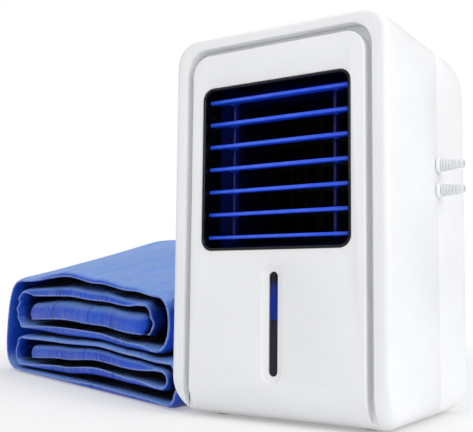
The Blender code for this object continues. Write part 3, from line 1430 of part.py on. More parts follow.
def build_filler():
    """The filler neck in the top, with its hinge ears."""
    base = filler_bottom()
    cone = base + FILLER_SPOUT_DEPTH
    cup = cone + FILLER_CONE_DEPTH
    top = UNIT_TOP + GAP + FILLER_FLANGE_THICKNESS
    inner = FILLER_RADIUS - FILLER_WALL
    outer_profile = [
        (HOSE_BORE, base),
        (HOSE_RADIUS, base),
        (HOSE_RADIUS, cone),
        (FILLER_RADIUS, cup),
        (FILLER_RADIUS, UNIT_TOP + GAP),
        (FILLER_FLANGE, UNIT_TOP + GAP),
        (FILLER_FLANGE, top - GAP),
        (FILLER_FLANGE - GAP, top),
        (inner, top),
        (inner, cup),
        (HOSE_BORE, cone),
    ]
    neck = turned("filler_neck", outer_profile, "Z", (FILLER_X, FILLER_Y, 0), ROUND_STEPS, True)
    ear_front = FILLER_Y + FILLER_FLANGE - EAR_WIDTH
    for side in (-1, 1):
        inner_x = FILLER_X + side * (KNUCKLE_HALF_WIDTH + GAP)
        outer_x = inner_x + side * EAR_WIDTH
        ear = box(
            "ear",
            (min(inner_x, outer_x), ear_front, UNIT_TOP + GAP),
            (max(inner_x, outer_x), HINGE_Y + EAR_WIDTH, HINGE_Z + EAR_WIDTH),
        )
        fuse(neck, ear)
    cut(neck, hinge_hole("hinge_hole", LID_PIN_RADIUS + GAP))
    keep_piece(neck, "filler_neck", "white_plastic")
    keep_piece(hinge_hole("lid_pin", LID_PIN_RADIUS), "lid_pin", "screw_steel")


def build_lid():
    """The hinged filler lid, with the plug ring that seals the neck."""
    plug = FILLER_RADIUS - FILLER_WALL - LID_PLUG_PLAY
    profile = [
        (0, LID_THICKNESS + LID_CROWN),
        (LID_RADIUS * 0.6, LID_THICKNESS + LID_CROWN * 0.8),
        (LID_RADIUS - LID_CROWN, LID_THICKNESS),
        (LID_RADIUS, LID_THICKNESS - LID_CROWN),
        (LID_RADIUS, 0),
        (plug, 0),
        (plug, -LID_PLUG_DEPTH),
        (plug - LID_PLUG_WALL, -LID_PLUG_DEPTH),
        (plug - LID_PLUG_WALL, 0),
        (0, 0),
    ]
    lid = turned("filler_lid", profile, "Z", (FILLER_X, FILLER_Y, LID_BOTTOM))
    knuckle_front = FILLER_Y + LID_RADIUS - KNUCKLE_HALF_WIDTH
    knuckle = box(
        "knuckle",
        (FILLER_X - KNUCKLE_HALF_WIDTH, knuckle_front, LID_BOTTOM),
        (FILLER_X + KNUCKLE_HALF_WIDTH, HINGE_Y + KNUCKLE_HALF_HEIGHT, HINGE_Z + KNUCKLE_HALF_HEIGHT),
    )
    edge_y = FILLER_Y - LID_RADIUS
    half_tab = LID_TAB_WIDTH / 2
    tab = box(
        "tab",
        (FILLER_X - half_tab, edge_y - LID_TAB_REACH, LID_BOTTOM + GAP),
        (FILLER_X + half_tab, edge_y + LID_TAB_REACH, LID_BOTTOM + LID_THICKNESS - GAP),
    )
    fuse(lid, knuckle, tab)
    cut(lid, hinge_hole("knuckle_hole", LID_PIN_RADIUS + GAP))
    keep_piece(lid, "filler_lid", "white_plastic", (FILLER_X, HINGE_Y, HINGE_Z))


# Controls

def control_outline(grow):
    """The control panel's outline about its middle, widened by a margin."""
    radius = CONTROL_CORNER + grow
    half_depth = CONTROL_HALF_DEPTH + grow
    return rounded(CONTROL_HALF_WIDTH + grow, -half_depth, half_depth, radius, radius)


def post_places():
    """The four posts that hold the board under the control panel."""
    across = CONTROL_HALF_WIDTH - POST_INSET
    along = CONTROL_HALF_DEPTH - POST_INSET
    return [(CONTROL_X + x, CONTROL_Y + y) for x in (-across, across) for y in (-along, along)]


def build_controls():
    """The control panel, its three buttons and the board with their switches."""
    middle = (CONTROL_X, CONTROL_Y)
    top = UNIT_TOP + CONTROL_PROUD
    ledge = SHELL_CEILING - GAP
    body_base = ledge - CONTROL_FLANGE_THICKNESS / 2
    panel = plate("control_panel", [control_outline(0.0)], "Z", body_base, top, middle)
    fuse(panel, plate("ledge", [control_outline(CONTROL_FLANGE)], "Z", CONTROL_UNDERSIDE, ledge, middle))
    for across, along in post_places():
        start = (across, along, BOARD_TOP + GAP)
        fuse(panel, rod("post", "Z", start, POST_RADIUS, ledge - WALL / 2 - start[2]))
    for across in BUTTON_PLACES.values():
        start = (across, CONTROL_Y, CONTROL_UNDERSIDE - OVERRUN)
        length = top - CONTROL_UNDERSIDE + 2 * OVERRUN
        cut(panel, rod("button_hole", "Z", start, BUTTON_RADIUS + GAP, length, MIDDLE_STEPS))
    keep_piece(panel, "control_panel", "white_plastic")
    skirt_top = CONTROL_UNDERSIDE - GAP
    skirt_bottom = skirt_top - BUTTON_SKIRT_HEIGHT
    cap_top = top + BUTTON_PROUD
    for name, across in BUTTON_PLACES.items():
        profile = [
            (0, cap_top),
            (BUTTON_RADIUS - BUTTON_PROUD / 2, cap_top),
            (BUTTON_RADIUS, cap_top - BUTTON_PROUD / 2),
            (BUTTON_RADIUS, skirt_top),
            (BUTTON_RADIUS + BUTTON_SKIRT, skirt_top),
            (BUTTON_RADIUS + BUTTON_SKIRT, skirt_bottom),
            (BUTTON_STEM_RADIUS, skirt_bottom),
            (BUTTON_STEM_RADIUS, STEM_END),
            (0, STEM_END),
        ]
        button = turned(name, profile, "Z", (across, CONTROL_Y, 0), MIDDLE_STEPS)
        keep_piece(button, name, "white_plastic", (across, CONTROL_Y, skirt_top))
    half_width = CONTROL_HALF_WIDTH - POST_INSET + POST_RADIUS
    half_depth = CONTROL_HALF_DEPTH - POST_INSET + POST_RADIUS
    board = box(
        "control_board",
        (CONTROL_X - half_width, CONTROL_Y - half_depth, BOARD_TOP - BOARD_THICKNESS),
        (CONTROL_X + half_width, CONTROL_Y + half_depth, BOARD_TOP),
    )
    for across in BUTTON_PLACES.values():
        half = SWITCH_SIZE / 2
        switch = box(
            "switch",
            (across - half, CONTROL_Y - half, BOARD_TOP - BOARD_THICKNESS / 2),
            (across + half, CONTROL_Y + half, SWITCH_TOP),
        )
        fuse(board, switch)
    keep_piece(board, "control_board", "circuit_board")


# Back and underside

def build_intake_grille():
    """The air intake: a barred insert that seats in the rear wall."""
    half = GRILLE_HALF_SIZE
    open_half = half - GRILLE_RIM
    width = (2 * open_half - (GRILLE_COLUMNS - 1) * GRILLE_BAR) / GRILLE_COLUMNS
    height = (2 * open_half - (GRILLE_ROWS - 1) * GRILLE_BAR) / GRILLE_ROWS
    slots = []
    for column in range(GRILLE_COLUMNS):
        left = -open_half + column * (width + GRILLE_BAR)
        for row in range(GRILLE_ROWS):
            low = WINDOW_MIDDLE - open_half + row * (height + GRILLE_BAR)
            slot = rounded(width / 2, low, low + height, height * 0.4, height * 0.4, 1)
            slots.append([(across + left + width / 2, up) for across, up in slot])
    inner_face = UNIT_REAR - WALL - GAP
    front = inner_face - GRILLE_FLANGE_THICKNESS
    outline = rounded(half, WINDOW_MIDDLE - half, WINDOW_MIDDLE + half, GRILLE_CORNER, GRILLE_CORNER)
    grille = plate("intake_grille", [outline, *slots], "Y", front, UNIT_REAR + GRILLE_PROUD)
    wide = half + GRILLE_FLANGE
    low, high = WINDOW_MIDDLE - wide, WINDOW_MIDDLE + wide
    flange = rounded(wide, low, high, GRILLE_CORNER, GRILLE_CORNER)
    hollow = half - GRILLE_RIM / 2
    low, high = WINDOW_MIDDLE - hollow, WINDOW_MIDDLE + hollow
    inner = rounded(hollow, low, high, GRILLE_RIM, GRILLE_RIM)
    fuse(grille, plate("grille_flange", [flange, inner], "Y", front, inner_face))
    keep_piece(grille, "intake_grille", "white_plastic")


def build_power_inlet():
    """The round power socket in the rear wall, with its centre pin."""
    profile = [
        (0, -INLET_DEPTH),
        (INLET_RADIUS, -INLET_DEPTH),
        (INLET_RADIUS, GAP),
        (INLET_FLANGE, GAP),
        (INLET_FLANGE, INLET_FLANGE_THICKNESS - GAP),
        (INLET_FLANGE - GAP, INLET_FLANGE_THICKNESS),
        (INLET_BORE, INLET_FLANGE_THICKNESS),
        (INLET_BORE, INLET_FLANGE_THICKNESS - INLET_BORE_DEPTH),
        (INLET_PIN_RADIUS, INLET_FLANGE_THICKNESS - INLET_BORE_DEPTH),
        (INLET_PIN_RADIUS, -GAP),
        (0, -GAP),
    ]
    socket = turned("power_inlet", profile, "Y", (INLET_X, UNIT_REAR, INLET_Z), MIDDLE_STEPS)
    keep_piece(socket, "power_inlet", "black_plastic")


def build_casing_screws():
    """The four screws at the bottom of the rear shell's columns."""
    for index, (side, height) in enumerate(screw_places()):
        profile = [
            (0, -SCREW_LENGTH),
            (SCREW_RADIUS, -SCREW_LENGTH),
            (SCREW_RADIUS, 0),
            (SCREW_HEAD_RADIUS, 0),
            (SCREW_HEAD_RADIUS, SCREW_HEAD_HEIGHT / 2),
            (SCREW_HEAD_RADIUS * 0.7, SCREW_HEAD_HEIGHT),
            (0, SCREW_HEAD_HEIGHT),
        ]
        start = (side * SCREW_X, SCREW_SEAT + GAP, height)
        screw = turned("screw", profile, "Y", start, SMALL_STEPS)
        keep_piece(screw, f"casing_screw_{index + 1}", "screw_steel")


def build_feet():
    """Four rubber feet in their recesses."""
    for name, depth in (("front", FOOT_FRONT), ("rear", FOOT_REAR)):
        for hand, side in (("left", -1), ("right", 1)):
            profile = [
                (0, 0),
                (FOOT_RADIUS - GAP, 0),
                (FOOT_RADIUS, GAP),
                (FOOT_RADIUS, FOOT_THICKNESS),
                (0, FOOT_THICKNESS),
            ]
            foot = turned("foot", profile, "Z", (side * FOOT_X, depth, 0), MIDDLE_STEPS)
            keep_piece(foot, f"foot_{name}_{hand}", "foot_rubber")


# Folded pad

def pad_loose_share(layer, along):
    """Share of the loose height under a layer, at a share of the pad's length."""
    shares = PAD_LOOSE_SHARES[layer]
    if along <= PAD_STATION_SHARES[0]:
        return shares[0]
    for index in range(1, len(PAD_STATION_SHARES)):
        start, end = PAD_STATION_SHARES[index - 1], PAD_STATION_SHARES[index]
        if along <= end:
            part = (along - start) / (end - start)
            part = part * part * (3 - 2 * part)
            return shares[index - 1] + (shares[index] - shares[index - 1]) * part
    return shares[-1]


def pad_height(layer, along, back):
    """Height of a layer's middle, from the front (back = 0) to the back (back = 1)."""
    layers = len(PAD_LOOSE_SHARES)
    packed = PAD_FLOOR_GAP + layers * PAD_THICKNESS + (layers - 1) * PAD_LAYER_GAP
    total = PAD_FRONT_HEIGHT + (PAD_BACK_HEIGHT - PAD_FRONT_HEIGHT) * back
    total *= 1 - PAD_BACK_SAG_SHARE * back * max(along, 0.0) ** 2
    even = layer / (layers - 1)
    share = pad_loose_share(layer, along) * (1 - back) + even * back
    bottom = PAD_FLOOR_GAP + PAD_THICKNESS / 2 + layer * (PAD_THICKNESS + PAD_LAYER_GAP)
    return bottom + (total - packed) * share


def pad_fold(layer, after, turn, reach, power, side, back):
    """Points of a fold from one layer to the next, as half a superellipse."""
    start = pad_height(layer, turn, back)
    end = pad_height(after, turn, back)
    middle, half = (start + end) / 2, (start - end) / 2
    points = []
    for step in range(1, PAD_FOLD_STEPS):
        angle = math.pi * step / PAD_FOLD_STEPS
        out = math.sin(angle) ** (2 / power)
        up = math.copysign(abs(math.cos(angle)) ** (2 / power), math.cos(angle))
        height = middle + half * up
        lean = 0.0
        if {layer, after} == {0, len(PAD_LOOSE_SHARES) - 1}:
            lean = PAD_LEAN * out * (1 - height / max(start, end))
        points.append(((turn + side * reach * out) * PAD_LENGTH - lean, height))
    return points


def pad_profile(back):
    """The strip's middle line, as (along, height), from one loose end to the other."""
    points = []
    start = PAD_START_SHARE
    for index, (layer, turn, reach, power) in enumerate(PAD_FOLD_SHARES):
        for step in range(PAD_RUN_STEPS + 1):
            along = start + (turn - start) * step / PAD_RUN_STEPS
            points.append((along * PAD_LENGTH, pad_height(layer, along, back)))
        last = index == len(PAD_FOLD_SHARES) - 1
        after = PAD_LAYERS_UNDER_END_COUNT if last else PAD_FOLD_SHARES[index + 1][0]
        side = 1 if turn > start else -1
        points += pad_fold(layer, after, turn, reach, power, side, back)
        start = turn
    for step in range(PAD_RUN_STEPS + 1):
        along = start + (PAD_END_SHARE - start) * step / PAD_RUN_STEPS
        points.append((along * PAD_LENGTH, pad_height(PAD_LAYERS_UNDER_END_COUNT, along, back)))
    return points


def build_folded_pad():
    """The folded pad, as one unbroken strip with its wall from a Solidify modifier."""
    front = Vector((math.cos(PAD_TURN), math.sin(PAD_TURN)))
    inward = Vector((-front.y, front.x))
    limit = -UNIT_HALF_WIDTH - PAD_SIDE_GAP
    corner = Vector((limit, PAD_TIP_Y)) - front * PAD_LENGTH
    rows = []
    for row in range(PAD_ROWS):
        back = row / (PAD_ROWS - 1)
        base = corner + inward * PAD_DEPTH * back
        squeeze = (limit - base.x) / front.x / PAD_LENGTH
        line = []
        for along, height in pad_profile(back):
            reach = along * squeeze if along > 0 else along
            place = base + front * (reach - PAD_THICKNESS / 2)
            line.append(Vector((place.x, place.y, height)))
        rows.append(line)
    shape = bmesh.new()
    grid = [[shape.verts.new(point) for point in line] for line in rows]
    for near, far in zip(grid, grid[1:]):
        for index in range(len(near) - 1):
            shape.faces.new((near[index], near[index + 1], far[index + 1], far[index]))
    mesh = bpy.data.meshes.new("folded_pad")
    shape.to_mesh(mesh)
    shape.free()
    pad = keep_aside(bpy.data.objects.new("folded_pad", mesh))
    wall = pad.modifiers.new("wall", "SOLIDIFY")
    wall.thickness = PAD_THICKNESS
    wall.offset = 0
    wall.use_even_offset = True
    keep_piece(pad, "folded_pad", "pad_nylon")


def build_all():
    """Builds every piece, then moves the set so that its footprint's middle is the origin."""
    build_front_shell()
    build_rear_shell()
    build_front_panel()
    build_grille_trim()
    build_level_window()
    build_slats()
    build_links()
    build_air_duct()
    build_heat_exchanger()
    build_fan_frame()
    build_fan_rotor()
    build_fan_screws()
    build_tank()
    build_pump()
    build_hoses()
    for name, height in (("supply", PORT_UPPER), ("return", PORT_LOWER)):
        build_port(f"{name}_port", height)
        build_boot(f"{name}_boot", height)
    build_filler()
    build_lid()
    build_controls()
    build_intake_grille()
    build_power_inlet()
    build_casing_screws()
    build_feet()
    build_folded_pad()


def centre_on_footprint():
    """Parents every piece to one empty and moves it."""
    bpy.context.view_layer.update()
    graph = bpy.context.evaluated_depsgraph_get()
    corners = []
    for piece in PARTS.objects:
        mesh = piece.evaluated_get(graph).to_mesh()
        corners += [piece.matrix_world @ vertex.co for vertex in mesh.vertices]
    middle = [(max(axis) + min(axis)) / 2 for axis in list(zip(*corners))[:2]]
    lowest = min(corner.z for corner in corners)
    origin = bpy.data.objects.new("origin", None)
    PARTS.objects.link(origin)
    for piece in list(PARTS.objects):
        if piece is not origin:
            piece.parent = origin
    origin.location = (-middle[0], -middle[1], -lowest)
    bpy.context.view_layer.update()
    return origin


def report_places(origin):
    """Prints the joints' and mounts' places in the finished frame."""
    shift = origin.location
    moving = ["slat_1", "louver_link_left", "louver_link_right", "fan_rotor", "pump_impeller"]
    moving += ["filler_lid", *BUTTON_PLACES, *[f"slat_{index + 2}" for index in range(SLAT_COUNT - 1)]]
    for name in moving:
        place = bpy.data.objects[name].matrix_world.translation
        print("pivot", name, " ".join(f"{value:.6f}" for value in place))
    print("shift", " ".join(f"{value:.6f}" for value in shift))
    print("foot", f"{-FOOT_X + shift.x:.6f} {FOOT_FRONT + shift.y:.6f} {shift.z:.6f}")


build_all()
report_places(centre_on_footprint())
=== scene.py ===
"""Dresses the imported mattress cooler, a water unit and its folded pad, for a studio view."""
import logging
import math
from dataclasses import dataclass, field
from enum import Enum
from typing import Iterable, Optional, Sequence, Union

import bmesh
import bpy
from mathutils import Matrix, Vector, noise
from mathutils.bvhtree import BVHTree


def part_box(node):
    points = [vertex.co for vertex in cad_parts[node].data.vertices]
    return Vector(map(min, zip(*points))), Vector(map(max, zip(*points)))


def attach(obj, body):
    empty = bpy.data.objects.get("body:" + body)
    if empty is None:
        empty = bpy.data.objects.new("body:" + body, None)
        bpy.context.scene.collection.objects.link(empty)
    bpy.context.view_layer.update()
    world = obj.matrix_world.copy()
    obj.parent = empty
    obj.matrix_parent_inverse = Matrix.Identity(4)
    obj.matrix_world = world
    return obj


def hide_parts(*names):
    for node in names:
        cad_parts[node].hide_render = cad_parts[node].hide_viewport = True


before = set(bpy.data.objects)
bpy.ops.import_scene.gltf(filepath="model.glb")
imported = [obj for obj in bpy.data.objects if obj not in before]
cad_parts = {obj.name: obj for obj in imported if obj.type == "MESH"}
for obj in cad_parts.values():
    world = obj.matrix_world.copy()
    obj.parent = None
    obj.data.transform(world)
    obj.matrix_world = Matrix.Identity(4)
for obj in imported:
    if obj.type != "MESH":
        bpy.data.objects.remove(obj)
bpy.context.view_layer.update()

LOG = logging.getLogger("mattress_cooler")
SHELL_LOW, SHELL_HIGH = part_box("front_shell")
ORIGIN = Vector(((SHELL_LOW.x + SHELL_HIGH.x) / 2, SHELL_LOW.y, 0.0))

Object = bpy.types.Object
Pair = tuple[float, float]
Triple = tuple[float, float, float]
Span = tuple[float, float, float, float]
Pairs = tuple[Pair, ...]
Ring = list[Vector]
Outline = list[Pair]
Colour = Triple
Socket = bpy.types.NodeSocket
Sockets = bpy.types.bpy_prop_collection
Value = Union[Socket, float]
Tint = Union[Socket, Colour]

SCREEN_WHITE = 255
SCREEN_KNEE, SCREEN_SLOPE, SCREEN_OFFSET, SCREEN_POWER = 0.04045, 12.92, 0.055, 2.4


class Slot(Enum):
    """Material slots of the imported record."""

    CASING = "casing_white"
    TRIM = "trim_black"
    SLAT = "slat_blue"
    DUCT = "duct_dark_blue"
    BLACK = "black_plastic"
    LENS = "level_lens"
    TANK = "tank_plastic"
    HOSE = "silicone_hose"
    WHITE_RUBBER = "white_rubber"
    FOOT = "foot_rubber"
    CORE = "aluminium_core"
    STEEL = "screw_steel"
    BOARD = "circuit_board"
    NYLON = "pad_nylon"


class Body(Enum):
    """Bodies that pieces ride on, apart from the seven slats."""

    UNIT = "unit"
    LINK_LEFT = "louver_link_left"
    LINK_RIGHT = "louver_link_right"
    LID = "filler_lid"
    POWER = "button_power"
    FAN = "button_fan"
    TIMER = "button_timer"
    PAD = "folded_pad"


def tone(red: int, green: int, blue: int) -> Colour:
    """Turns a colour as a screen shows it, 0 to 255, into the linear values that shaders take.

    Args:
        red, green, blue: the colour's three parts.

    Returns:
        The linear colour.
    """
    linear = []
    for value in (red, green, blue):
        part = value / SCREEN_WHITE
        curve = ((part + SCREEN_OFFSET) / (1 + SCREEN_OFFSET)) ** SCREEN_POWER
        linear.append(part / SCREEN_SLOPE if part <= SCREEN_KNEE else curve)
    return tuple(linear)


class Graph:
    """Adds nodes to one node tree and links them as they are added."""

    def __init__(self, tree: bpy.types.NodeTree) -> None:
        """Keeps the tree that nodes are added to."""
        self.tree = tree

    def add(self, kind: str, inputs: Optional[dict] = None, **settings: object) -> bpy.types.Node:
        """Adds a node.

        Args:
            kind: the node's type.
            inputs: values or sockets for its inputs, by name or number.
            settings: the node's own properties.

        Returns:
            The new node.
        """
        node = self.tree.nodes.new(kind)
        for name, value in settings.items():
            setattr(node, name, value)
        for key, value in (inputs or {}).items():
            if isinstance(value, bpy.types.NodeSocket):
                self.tree.links.new(value, node.inputs[key])
            elif hasattr(node.inputs[key], "default_value"):
                socket = node.inputs[key]
                is_colour = socket.type == "RGBA" and len(value) == 3
                socket.default_value = (*value, 1.0) if is_colour else value
        return node

    def math(self, operation: str, first: Value, second: Value = 0.0, clamp: bool = False) -> Socket:
        """Adds a Math node and returns its value."""
        node = self.add("ShaderNodeMath", {0: first, 1: second}, operation=operation, use_clamp=clamp)
        return node.outputs[0]

    def mix(self, share: Value, first: Tint, second: Tint) -> Socket:
        """Mixes two colours by how much of the second one shows."""
        node = self.add("ShaderNodeMix", {0: share, 6: first, 7: second}, data_type="RGBA")
        return node.outputs[2]

    def remap(
        self, value: Socket, low: float, high: float, to_low: float = 0.0, to_high: float = 1.0
    ) -> Socket:
        """Maps a value smoothly from one range, low to high, to another."""
        inputs = {"Value": value, "From Min": low, "From Max": high, "To Min": to_low, "To Max": to_high}
        return self.add("ShaderNodeMapRange", inputs, interpolation_type="SMOOTHSTEP").outputs["Result"]

    def noise(self, place: Socket, scale: Value, detail: float = 3.0, roughness: float = 0.5) -> Socket:
        """Adds a noise texture and returns its value."""
        inputs = {"Vector": place, "Scale": scale, "Detail": detail, "Roughness": roughness}
        return self.add("ShaderNodeTexNoise", inputs).outputs["Fac"]


class Effect:
    """A shader node group that several finishes share, built once."""

    title = ""
    takes: tuple[tuple[str, str, object], ...] = ()
    gives: tuple[tuple[str, str], ...] = ()
    _made: dict[str, bpy.types.NodeTree] = {}

    @classmethod
    def tree(cls) -> bpy.types.NodeTree:
        """Builds the group at its first use.

        Returns:
            The group.
        """
        if cls.title not in Effect._made:
            tree = bpy.data.node_groups.new(cls.title, "ShaderNodeTree")
            for name, kind, value in cls.takes:
                socket = tree.interface.new_socket(name, in_out="INPUT", socket_type=kind)
                if value is not None:
                    socket.default_value = value
            for name, kind in cls.gives:
                tree.interface.new_socket(name, in_out="OUTPUT", socket_type=kind)
            graph = Graph(tree)
            source = graph.add("NodeGroupInput")
            results = cls.fill(graph, source.outputs)
            graph.add("NodeGroupOutput", dict(results))
            Effect._made[cls.title] = tree
        return Effect._made[cls.title]

    @classmethod
    def fill(cls, graph: Graph, given: Sockets) -> dict[str, Socket]:
        """Adds the group's nodes; each effect has its own."""
        raise NotImplementedError

    @classmethod
    def place(cls, graph: Graph, **inputs: object) -> Sockets:
        """Places the group in a material.

        Args:
            graph: the material's graph.
            inputs: values or sockets, by the input's name.

        Returns:
            The group's outputs.
        """
        node = graph.add("ShaderNodeGroup", node_tree=cls.tree())
        for name, value in inputs.items():
            if isinstance(value, bpy.types.NodeSocket):
                graph.tree.links.new(value, node.inputs[name])
            else:
                node.inputs[name].default_value = value
        return node.outputs


class MouldGrain(Effect):
    """The fine texture of a mould's wall, with broad soft patches over it."""

    title = "mould_grain"
    takes = (("Place", "NodeSocketVector", None), ("Fineness", "NodeSocketFloat", 1800.0),
             ("Patch Scale", "NodeSocketFloat", 14.0))
    gives = (("Height", "NodeSocketFloat"), ("Patch", "NodeSocketFloat"))
    patch_range = (0.3, 0.7)

    @classmethod
    def fill(cls, graph: Graph, given: Sockets) -> dict[str, Socket]:
        """Adds the grain and the patches.

        Args:
            graph: the group's graph.
            given: the group's inputs.

        Returns:
            The group's outputs.
        """
        grain = graph.noise(given["Place"], given["Fineness"], 2.0, 0.6)
        broad = graph.noise(given["Place"], given["Patch Scale"], 4.0, 0.55)
        return {"Height": grain, "Patch": graph.remap(broad, *cls.patch_range)}


class EdgeWear(Effect):
    """A broken mask along the outer edges, where handling polishes them."""

    title = "edge_wear"
    takes = (("Place", "NodeSocketVector", None), ("Amount", "NodeSocketFloat", 0.3))
    gives = (("Mask", "NodeSocketFloat"),)
    sharp_range = (0.515, 0.60)
    break_scale = 160.0
    break_range = (0.38, 0.62)

    @classmethod
    def fill(cls, graph: Graph, given: Sockets) -> dict[str, Socket]:
        """Finds sharp convex places and breaks them up.

        Args:
            graph: the group's graph.
            given: the group's inputs.

        Returns:
            The group's outputs.
        """
        sharp = graph.add("ShaderNodeNewGeometry").outputs["Pointiness"]
        edge = graph.remap(sharp, *cls.sharp_range)
        broken = graph.remap(graph.noise(given["Place"], cls.break_scale, 5.0, 0.65), *cls.break_range)
        return {"Mask": graph.math("MULTIPLY", graph.math("MULTIPLY", edge, broken), given["Amount"])}


class SettledDust(Effect):
    """Dust on the places that face upwards, and a little in the hollows."""

    title = "settled_dust"
    takes = (("Place", "NodeSocketVector", None), ("Amount", "NodeSocketFloat", 0.1))
    gives = (("Mask", "NodeSocketFloat"),)
    upward_range = (0.55, 1.0)
    hollow_range = (0.49, 0.42)
    speck_scale = 420.0
    speck_range = (0.35, 0.75)

    @classmethod
    def fill(cls, graph: Graph, given: Sockets) -> dict[str, Socket]:
        """Takes upward faces and hollows, and breaks them with noise.

        Args:
            graph: the group's graph.
            given: the group's inputs.

        Returns:
            The group's outputs.
        """
        shape = graph.add("ShaderNodeNewGeometry")
        upward = graph.add("ShaderNodeSeparateXYZ", {0: shape.outputs["Normal"]}).outputs["Z"]
        flat = graph.remap(upward, *cls.upward_range)
        hollow = graph.remap(shape.outputs["Pointiness"], *cls.hollow_range)
        both = graph.math("MAXIMUM", flat, hollow)
        specks = graph.remap(graph.noise(given["Place"], cls.speck_scale, 6.0, 0.7), *cls.speck_range)
        return {"Mask": graph.math("MULTIPLY", graph.math("MULTIPLY", both, specks), given["Amount"])}


def object_place(graph: Graph) -> Socket:
    """Returns the material's Object coordinates."""
    return graph.add("ShaderNodeTexCoord").outputs["Object"]


@dataclass(frozen=True)
class Finish:
    """A moulded, rubber or metal finish: two close tints, a roughness range, grain, wear and dust."""

    name: str
    tint: Colour
    shade: Colour
    roughness: float
    spread: float = 0.06
    fineness: float = 1800.0
    depth: float = 0.00002
    patch: float = 14.0
    metallic: float = 0.0
    coat: float = 0.0
    subsurface: float = 0.0
    wear: float = 0.25
    worn_tint: Colour = (0.9, 0.9, 0.9)
    dust: float = 0.06
    dust_tint: Colour = (0.55, 0.53, 0.5)
    specular: float = 0.5
    dust_roughness: float = 0.5
    coat_roughness: float = 0.08
    bleed: float = 0.004

    def make(self) -> bpy.types.Material:
        """Builds the material.

        Returns:
            The material, with its colour, roughness and bump from its nodes.
        """
        material = bpy.data.materials.new(self.name)
        material.use_nodes = True
        graph = Graph(material.node_tree)
        shader = material.node_tree.nodes["Principled BSDF"]
        place = object_place(graph)
        grain = MouldGrain.place(graph, Place=place, **{"Fineness": self.fineness, "Patch Scale": self.patch})
        wear = EdgeWear.place(graph, Place=place, Amount=self.wear)["Mask"]
        dust = SettledDust.place(graph, Place=place, Amount=self.dust)["Mask"]
        colour = graph.mix(grain["Patch"], self.tint, self.shade)
        colour = self.pattern(graph, place, colour)
        colour = graph.mix(wear, colour, self.worn_tint)
        colour = graph.mix(dust, colour, self.dust_tint)
        low, high = self.roughness - self.spread, self.roughness + self.spread
        rough = graph.remap(grain["Patch"], 0.0, 1.0, low, high)
        rough = graph.math("ADD", rough, graph.math("MULTIPLY", dust, self.dust_roughness), clamp=True)
        height = self.relief(graph, place, grain["Height"])
        bump = graph.add("ShaderNodeBump", {"Height": height, "Distance": self.depth, "Strength": 1.0})
        links = material.node_tree.links
        links.new(colour, shader.inputs["Base Color"])
        links.new(rough, shader.inputs["Roughness"])
        links.new(bump.outputs["Normal"], shader.inputs["Normal"])
        shader.inputs["Metallic"].default_value = self.metallic
        shader.inputs["Coat Weight"].default_value = self.coat
        shader.inputs["Coat Roughness"].default_value = self.coat_roughness
        shader.inputs["Specular IOR Level"].default_value = self.specular
        shader.inputs["Subsurface Weight"].default_value = self.subsurface
        shader.inputs["Subsurface Radius"].default_value = (self.bleed,) * 3
        return material

    def pattern(self, graph: Graph, place: Socket, colour: Socket) -> Socket:
        """Adds a pattern to the colour; a plain finish has none."""
        return colour

    def relief(self, graph: Graph, place: Socket, height: Socket) -> Socket:
        """Adds a pattern to the height; a plain finish has none."""
        return height


@dataclass(frozen=True)
class FinnedFinish(Finish):
    """Thin upright fins, as on a heat exchanger, with painted shade in the gaps between them."""

    pitch: float = 0.0018
    # painted shade: the tint of the gaps between the fins
    painted_gap_shade: Colour = (0.0, 0.0, 0.0)
    rise: float = 10.0

    def stripes(self, graph: Graph, place: Socket) -> Socket:
        """Makes a value that goes from 0 between the fins to 1 on them.

        Args:
            graph: the material's graph.
            place: the Object coordinates.

        Returns:
            The value.
        """
        across = graph.add("ShaderNodeSeparateXYZ", {0: place}).outputs["X"]
        turns = graph.math("MULTIPLY", across, math.tau / self.pitch)
        return graph.remap(graph.math("SINE", turns), -0.5, 0.5)

    def pattern(self, graph: Graph, place: Socket, colour: Socket) -> Socket:
        """Paints shade in the gaps between the fins."""
        return graph.mix(self.stripes(graph, place), self.painted_gap_shade, colour)

    def relief(self, graph: Graph, place: Socket, height: Socket) -> Socket:
        """Raises the fins."""
        return graph.math("ADD", height, graph.math("MULTIPLY", self.stripes(graph, place), self.rise))


@dataclass(frozen=True)
class DuctFinish(Finish):
    """The air duct's plastic: blue at its mouth, where it shows, and darkened by painted shade to near black
    further in.
    """

    mouth: float = 0.016
    inner: float = 0.042
    # painted shade: the near-black tint deep inside the duct
    painted_inner_shade: Colour = (0.0015, 0.0015, 0.003)

    def pattern(self, graph: Graph, place: Socket, colour: Socket) -> Socket:
        """Paints shade that darkens the duct from its mouth inwards.

        Args:
            graph: the material's graph.
            place: the Object coordinates.
            colour: the plain colour.

        Returns:
            The patterned colour.
        """
        inward = graph.add("ShaderNodeSeparateXYZ", {0: place}).outputs["Y"]
        share = graph.remap(inward, ORIGIN.y + self.mouth, ORIGIN.y + self.inner)
        return graph.mix(share, colour, self.painted_inner_shade)


@dataclass(frozen=True)
class CircuitFinish(Finish):
    """Green lacquer over copper tracks."""

    scale: float = 240.0
    width: float = 0.06
    strength: float = 0.6
    track_tint: Colour = tone(70, 150, 80)

    def pattern(self, graph: Graph, place: Socket, colour: Socket) -> Socket:
        """Draws fine tracks in a lighter green.

        Args:
            graph: the material's graph.
            place: the Object coordinates.
            colour: the plain colour.

        Returns:
            The patterned colour.
        """
        inputs = {"Vector": place, "Scale": self.scale, "Mortar Size": self.width}
        cells = graph.add("ShaderNodeTexBrick", inputs)
        return graph.mix(graph.math("MULTIPLY", cells.outputs["Fac"], self.strength), colour, self.track_tint)


